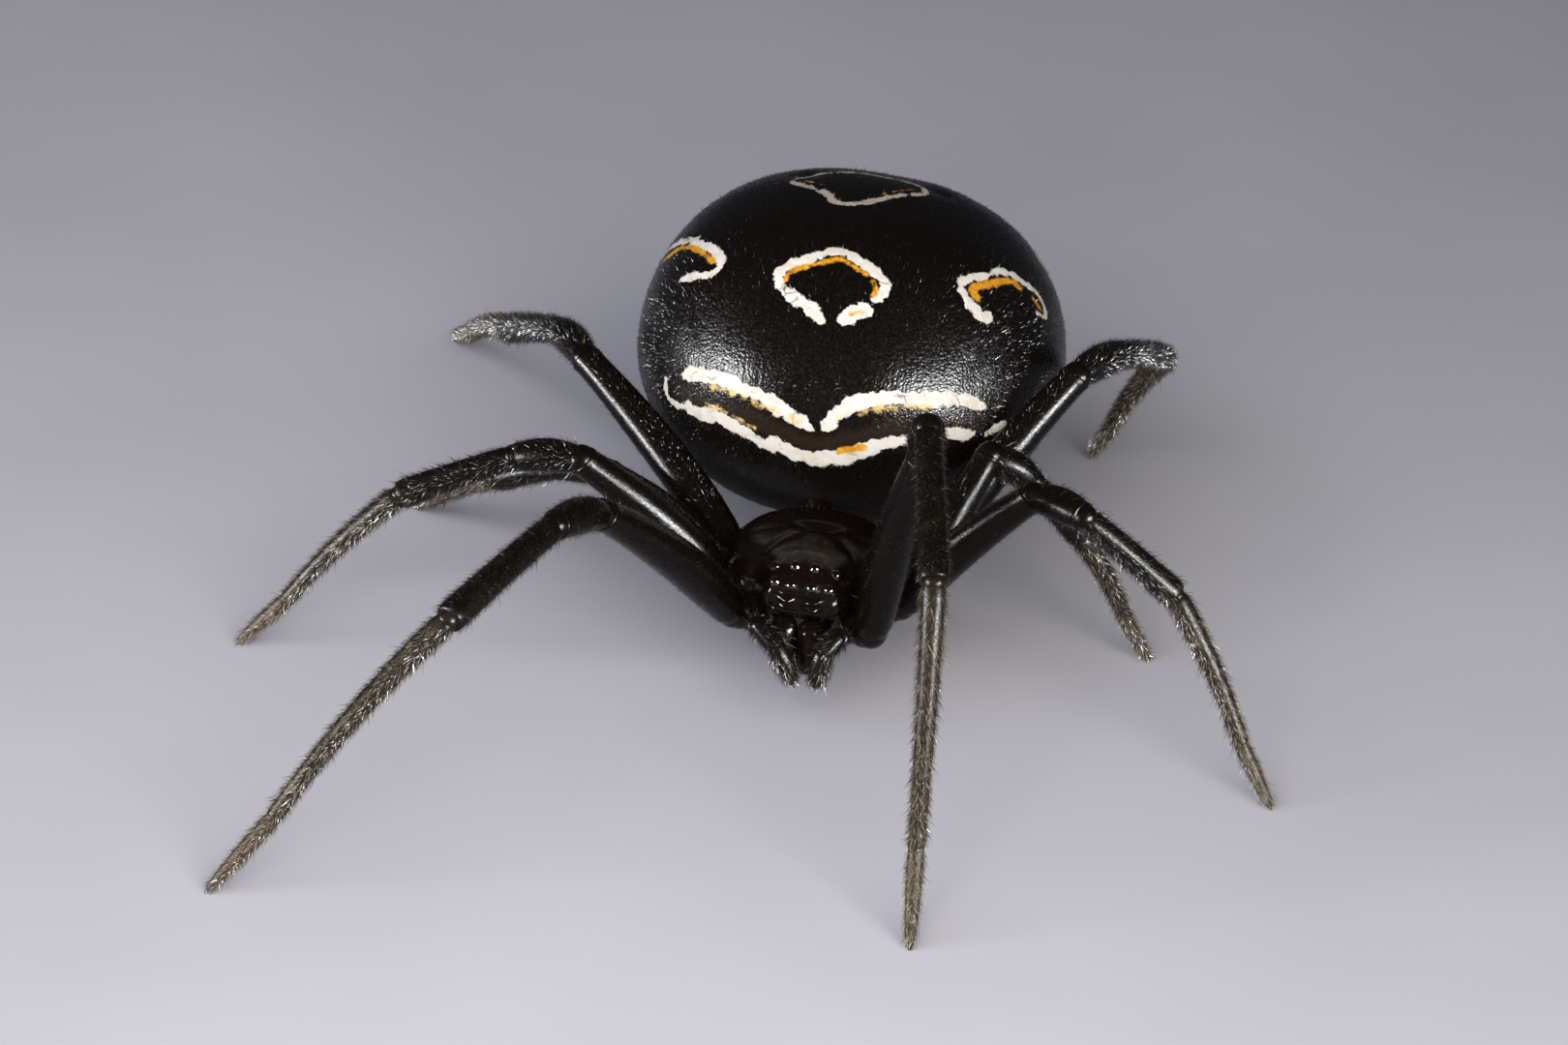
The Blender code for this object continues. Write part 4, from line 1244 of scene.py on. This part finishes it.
def make_camera():
    """The camera at the photo's angle, with its small roll."""
    back = aim(CAMERA_AZIMUTH, CAMERA_ELEVATION)
    level = Vector((cos(radians(CAMERA_AZIMUTH)), sin(radians(CAMERA_AZIMUTH)), 0.0))
    rise = back.cross(level)
    roll = radians(CAMERA_ROLL)
    right = level * cos(roll) + rise * sin(roll)
    up = rise * cos(roll) - level * sin(roll)
    place = Vector(CAMERA_TARGET + SHIFT) + back * CAMERA_DISTANCE
    data = bpy.data.cameras.new("camera")
    data.lens = CAMERA_LENS
    data.sensor_width = CAMERA_SENSOR
    data.clip_start = 5.0 * MM
    data.clip_end = 5.0
    camera = add_object("camera", data)
    turn = Matrix((right, up, back)).transposed().to_4x4()
    camera.matrix_world = Matrix.Translation(place * MM) @ turn
    bpy.context.scene.camera = camera


def light_scene():
    """Two low strips that shine in the gloss, three broad lights, and a dim even room."""
    for name, values in LIGHTS.items():
        azimuth, elevation, distance, width, height, power, colour, shines_in = values
        data = bpy.data.lights.new(name, "AREA")
        data.shape = "RECTANGLE"
        data.size = width * MM
        data.size_y = height * MM
        data.energy = power
        data.color = linear(colour)[:3]
        way = aim(azimuth, elevation)
        turn = way.to_track_quat("Z", "Y").to_matrix().to_4x4()
        light = add_object(name, data)
        light.matrix_world = Matrix.Translation(way * distance * MM) @ turn
        light.visible_diffuse = shines_in != "gloss"
        light.visible_glossy = shines_in != "matt"
    world = bpy.data.worlds.new("room")
    world.use_nodes = True
    room = {"Color": ROOM_GREY, "Strength": ROOM_STRENGTH}
    set_inputs(world.node_tree, world.node_tree.nodes["Background"], room)
    bpy.context.scene.world = world
    bpy.context.scene.view_settings.view_transform = "Standard"


def make_floor(material):
    """A wide flat board that the spider stands on."""
    half = FLOOR_HALF_WIDTH * MM
    mesh = bpy.data.meshes.new("floor")
    corners = [(-half, -half, 0.0), (half, -half, 0.0), (half, half, 0.0), (-half, half, 0.0)]
    mesh.from_pydata(corners, [], [(0, 1, 2, 3)])
    mesh.materials.append(material)
    add_object("floor", mesh)


def main():
    """Make every piece, the lights, the floor and the camera."""
    tree = grow_hairs()
    legs, carapace = leg_cuticle(), carapace_cuticle()
    bristle, fine_hair = leg_hair(), abdomen_hair()
    dress(
        "abdomen", "abdomen", make_abdomen(), ("abdomen",), abdomen_cuticle(), fine_hair, tree,
        Bends=1, Bend=0.0, Lean=1.05, Slenderness=10.0,
    )
    dark = (carapace, bristle, tree)
    head = dress(
        "cephalothorax", "carapace", make_head(), ("cephalothorax",), *dark, Lean=0.6
    )
    surface = BVHTree.FromObject(head, bpy.context.evaluated_depsgraph_get())
    lens, claw_horn = eye_lens(), horn()
    for name in EYES:
        for side_name, side in SIDE_SIGN.items():
            eye = make_eye(surface, name, side).make(f"eye_{name}_{side_name}_lens", lens)
            place_piece(eye, "eye", f"eye_{name}_{side_name}")
    jaws, fangs = make_jaws()
    both = ("chelicera_left", "chelicera_right")
    dress("chelicerae", "carapace", jaws, both, *dark, Lean=0.7)
    place_piece(fangs.make("fangs", claw_horn), "carapace")
    dress("spinnerets", "carapace", make_spinnerets(), ("spinnerets",), *dark, Lean=0.5)
    claws = Skin()
    limb = (legs, bristle, tree)
    for side_name, side in SIDE_SIGN.items():
        palp, joints = make_palp(side)
        name = f"palp_{side_name}"
        dress(name, "leg", palp, (name,), *limb, Lean=0.62, Seed=SEED + 3)
        along = unit(joints[-1] - joints[-2])
        add_claw(claws, joints[-1] - along * 0.05, along, 0.0)
    for (side_name, pair), pose in POSES.items():
        side = SIDE_SIGN[side_name]
        leg, joints = make_leg(side, pair, pose)
        name = f"leg_{pair}_{side_name}"
        nodes = [f"{name}_{segment}" for segment in SEGMENTS]
        sizes = {"Lean": 0.68, "Disorder": 0.42, "Slenderness": 17.0}
        dress(name, "leg", leg, nodes, *limb, Seed=SEED + 10 * pair + int(side), **sizes)
        along = unit(joints[-1] - joints[-2])
        for lean in (-0.03, 0.03):
            add_claw(claws, joints[-1] - along * 0.03, along, lean)
    place_piece(claws.make("claws", claw_horn), "foot")
    make_floor(floor_board())
    make_camera()
    light_scene()


main()
